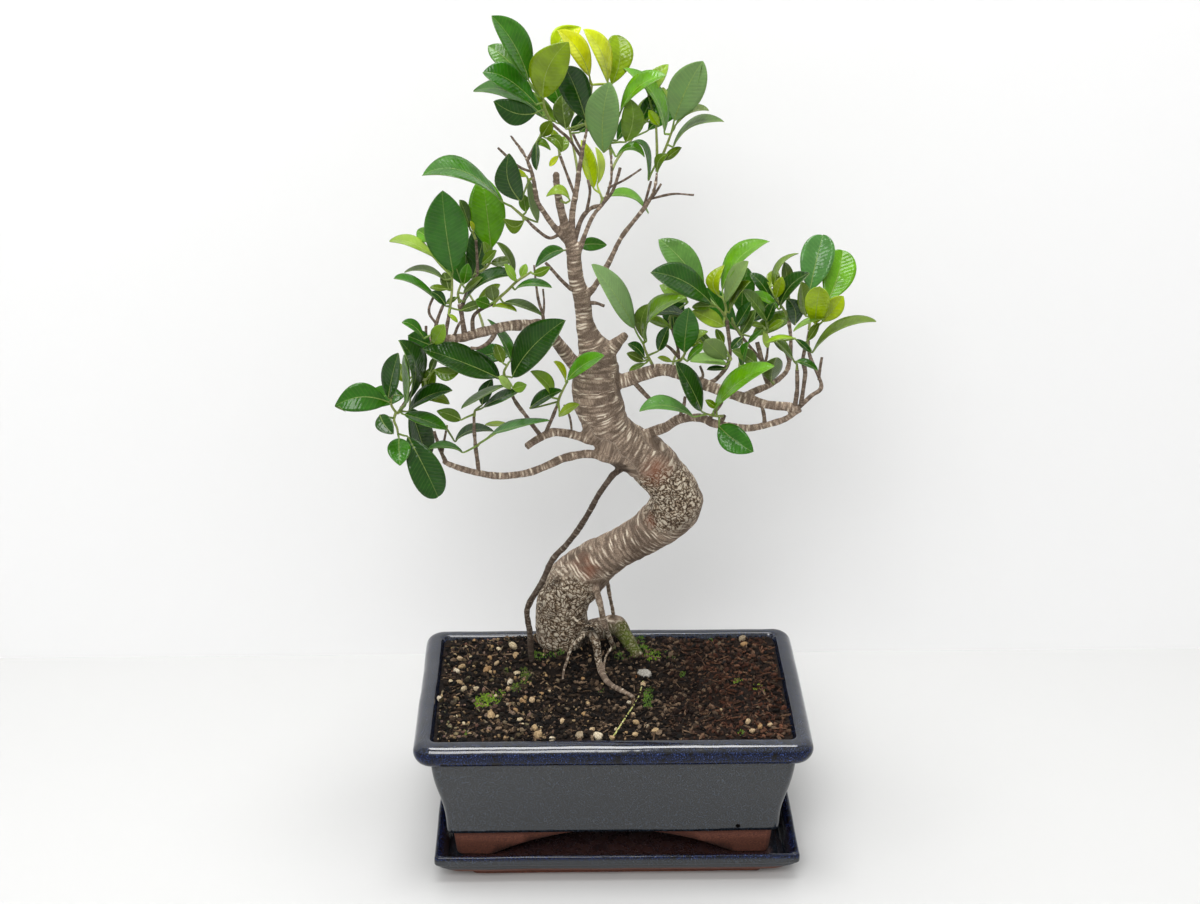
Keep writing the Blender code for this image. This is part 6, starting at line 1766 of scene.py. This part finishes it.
# %% [markdown]
# A pale lump of stone lies in front of the trunk, with a dry leaf stalk that runs from it to the pot's edge,
# and a chip of fired clay beside it. The lump is a ball pressed flat and made uneven. The stalk is a thin tube.

# %% Stone, chip and stalk
DISC_MM = 10.4
STALK_MM = 1.0
SCREEN_SIZE = 0.030
SCREEN_WIRE = 0.0016
SCREEN_THICK = 0.0008


def lump(place, size, unevenness, seed, tone):
    """A flattened ball with an uneven skin, which carries its colour."""
    shape = bmesh.new()
    tint = shape.verts.layers.float_color.new("grain_colour")
    bmesh.ops.create_icosphere(shape, subdivisions=4, radius=0.5)
    for corner in shape.verts:
        swell = noise.noise(corner.co * 3.1 + Vector((seed, 0, 0)))
        swell += 0.5 * noise.noise(corner.co * 8 + Vector((0, seed, 0)))
        corner.co *= 1 + unevenness * swell
        corner.co = place + Vector(a * b for a, b in zip(corner.co, size))
        corner[tint] = linear(tone)
    return shape


stone_finish = earthy("rough pale stone", "#8c8880", "#ffffff", 0.85)
stone_shape = lump(on_soil(644, 674, 0.0008), (DISC_MM * MM, DISC_MM * 0.94 * MM, 0.0042), 0.22, 3, "#cfcbc2")
stone = show(stone_shape, "stone_lump", [stone_finish])
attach(stone, "root")
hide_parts("stone_disc")
chip_shape = lump(on_soil(634, 676, 0.0004), (0.0042, 0.0030, 0.0024), 0.3, 9, "#c07a45")
chip = show(chip_shape, "clay_chip", [stone_finish])
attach(chip, "root")

stalk_finish, put, shader = finish_named("dry green leaf stalk")
place = put("TexCoord").outputs["Object"]
fibre = put("TexNoise", {"Vector": place, "Scale": per_metre(2.2), "Detail": 3.0})
straw = put("ValToRGB", {"Fac": fibre}, stops=((0.32, "#8f9246"), (0.52, "#b9ba6c"), (0.72, "#dcd8a4")))
feed(shader, {"Base Color": straw, "Roughness": 0.55})
route = [on_soil(column, row, 0.0010) for column, row in
         ((643, 682), (641, 690), (638, 698), (632, 709), (625, 720), (617, 732), (611, 741))]
line = smooth_line(route, 5)
stalk = show(tube(line, spread(STALK_MM * 0.42 * MM, STALK_MM * 0.56 * MM, len(line)), 10), "dry_stalk",
             [stalk_finish])
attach(stalk, "root")
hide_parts("dry_stem")

# %% [markdown]
# Two squares of plastic mesh lie on the pot's floor under the soil and keep it from falling through the drain
# holes. They can be seen only from below. Each is a small grid whose cells are cut out and which is thickened.

# %% Drain screens
mesh_finish, put, shader = finish_named("black moulded plastic mesh")
place = put("TexCoord").outputs["Object"]
grain = put("TexNoise", {"Vector": place, "Scale": per_metre(0.5), "Detail": 2.0})
black = put("ValToRGB", {"Fac": grain}, stops=((0.35, "#17181a"), (0.65, "#242628")))
feed(shader, {"Base Color": black, "Roughness": 0.6})
for side, word in ((-1, "left"), (1, "right")):
    shape = bmesh.new()
    bmesh.ops.create_grid(shape, x_segments=2, y_segments=2, size=SCREEN_SIZE / 2)
    bmesh.ops.inset_individual(shape, faces=shape.faces[:], thickness=SCREEN_WIRE)
    eyes = [face for face in shape.faces if face.calc_area() > (SCREEN_SIZE / 4) ** 2]
    bmesh.ops.delete(shape, geom=eyes, context="FACES_ONLY")
    bmesh.ops.solidify(shape, geom=shape.faces[:], thickness=-SCREEN_THICK)
    bmesh.ops.recalc_face_normals(shape, faces=shape.faces[:])
    bmesh.ops.translate(shape, vec=(side * DRAIN_X, 0, POT_FLOOR + 0.0003), verts=shape.verts)
    screen = show(shape, "screen_" + word, [mesh_finish], False)
    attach(screen, "root")
    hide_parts("drain_screen_" + word)
print("stone, chip, stalk and screens done")

# %% [markdown]
# The dressed tree has to keep the size of its solids, so both boxes are printed.

# %% Sizes and the end
seen_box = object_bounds()
for name, low, high in (("packed", *cad_box), ("dressed", *seen_box)):
    print(name, [round(value * 1000, 1) for value in (*low, *high)])
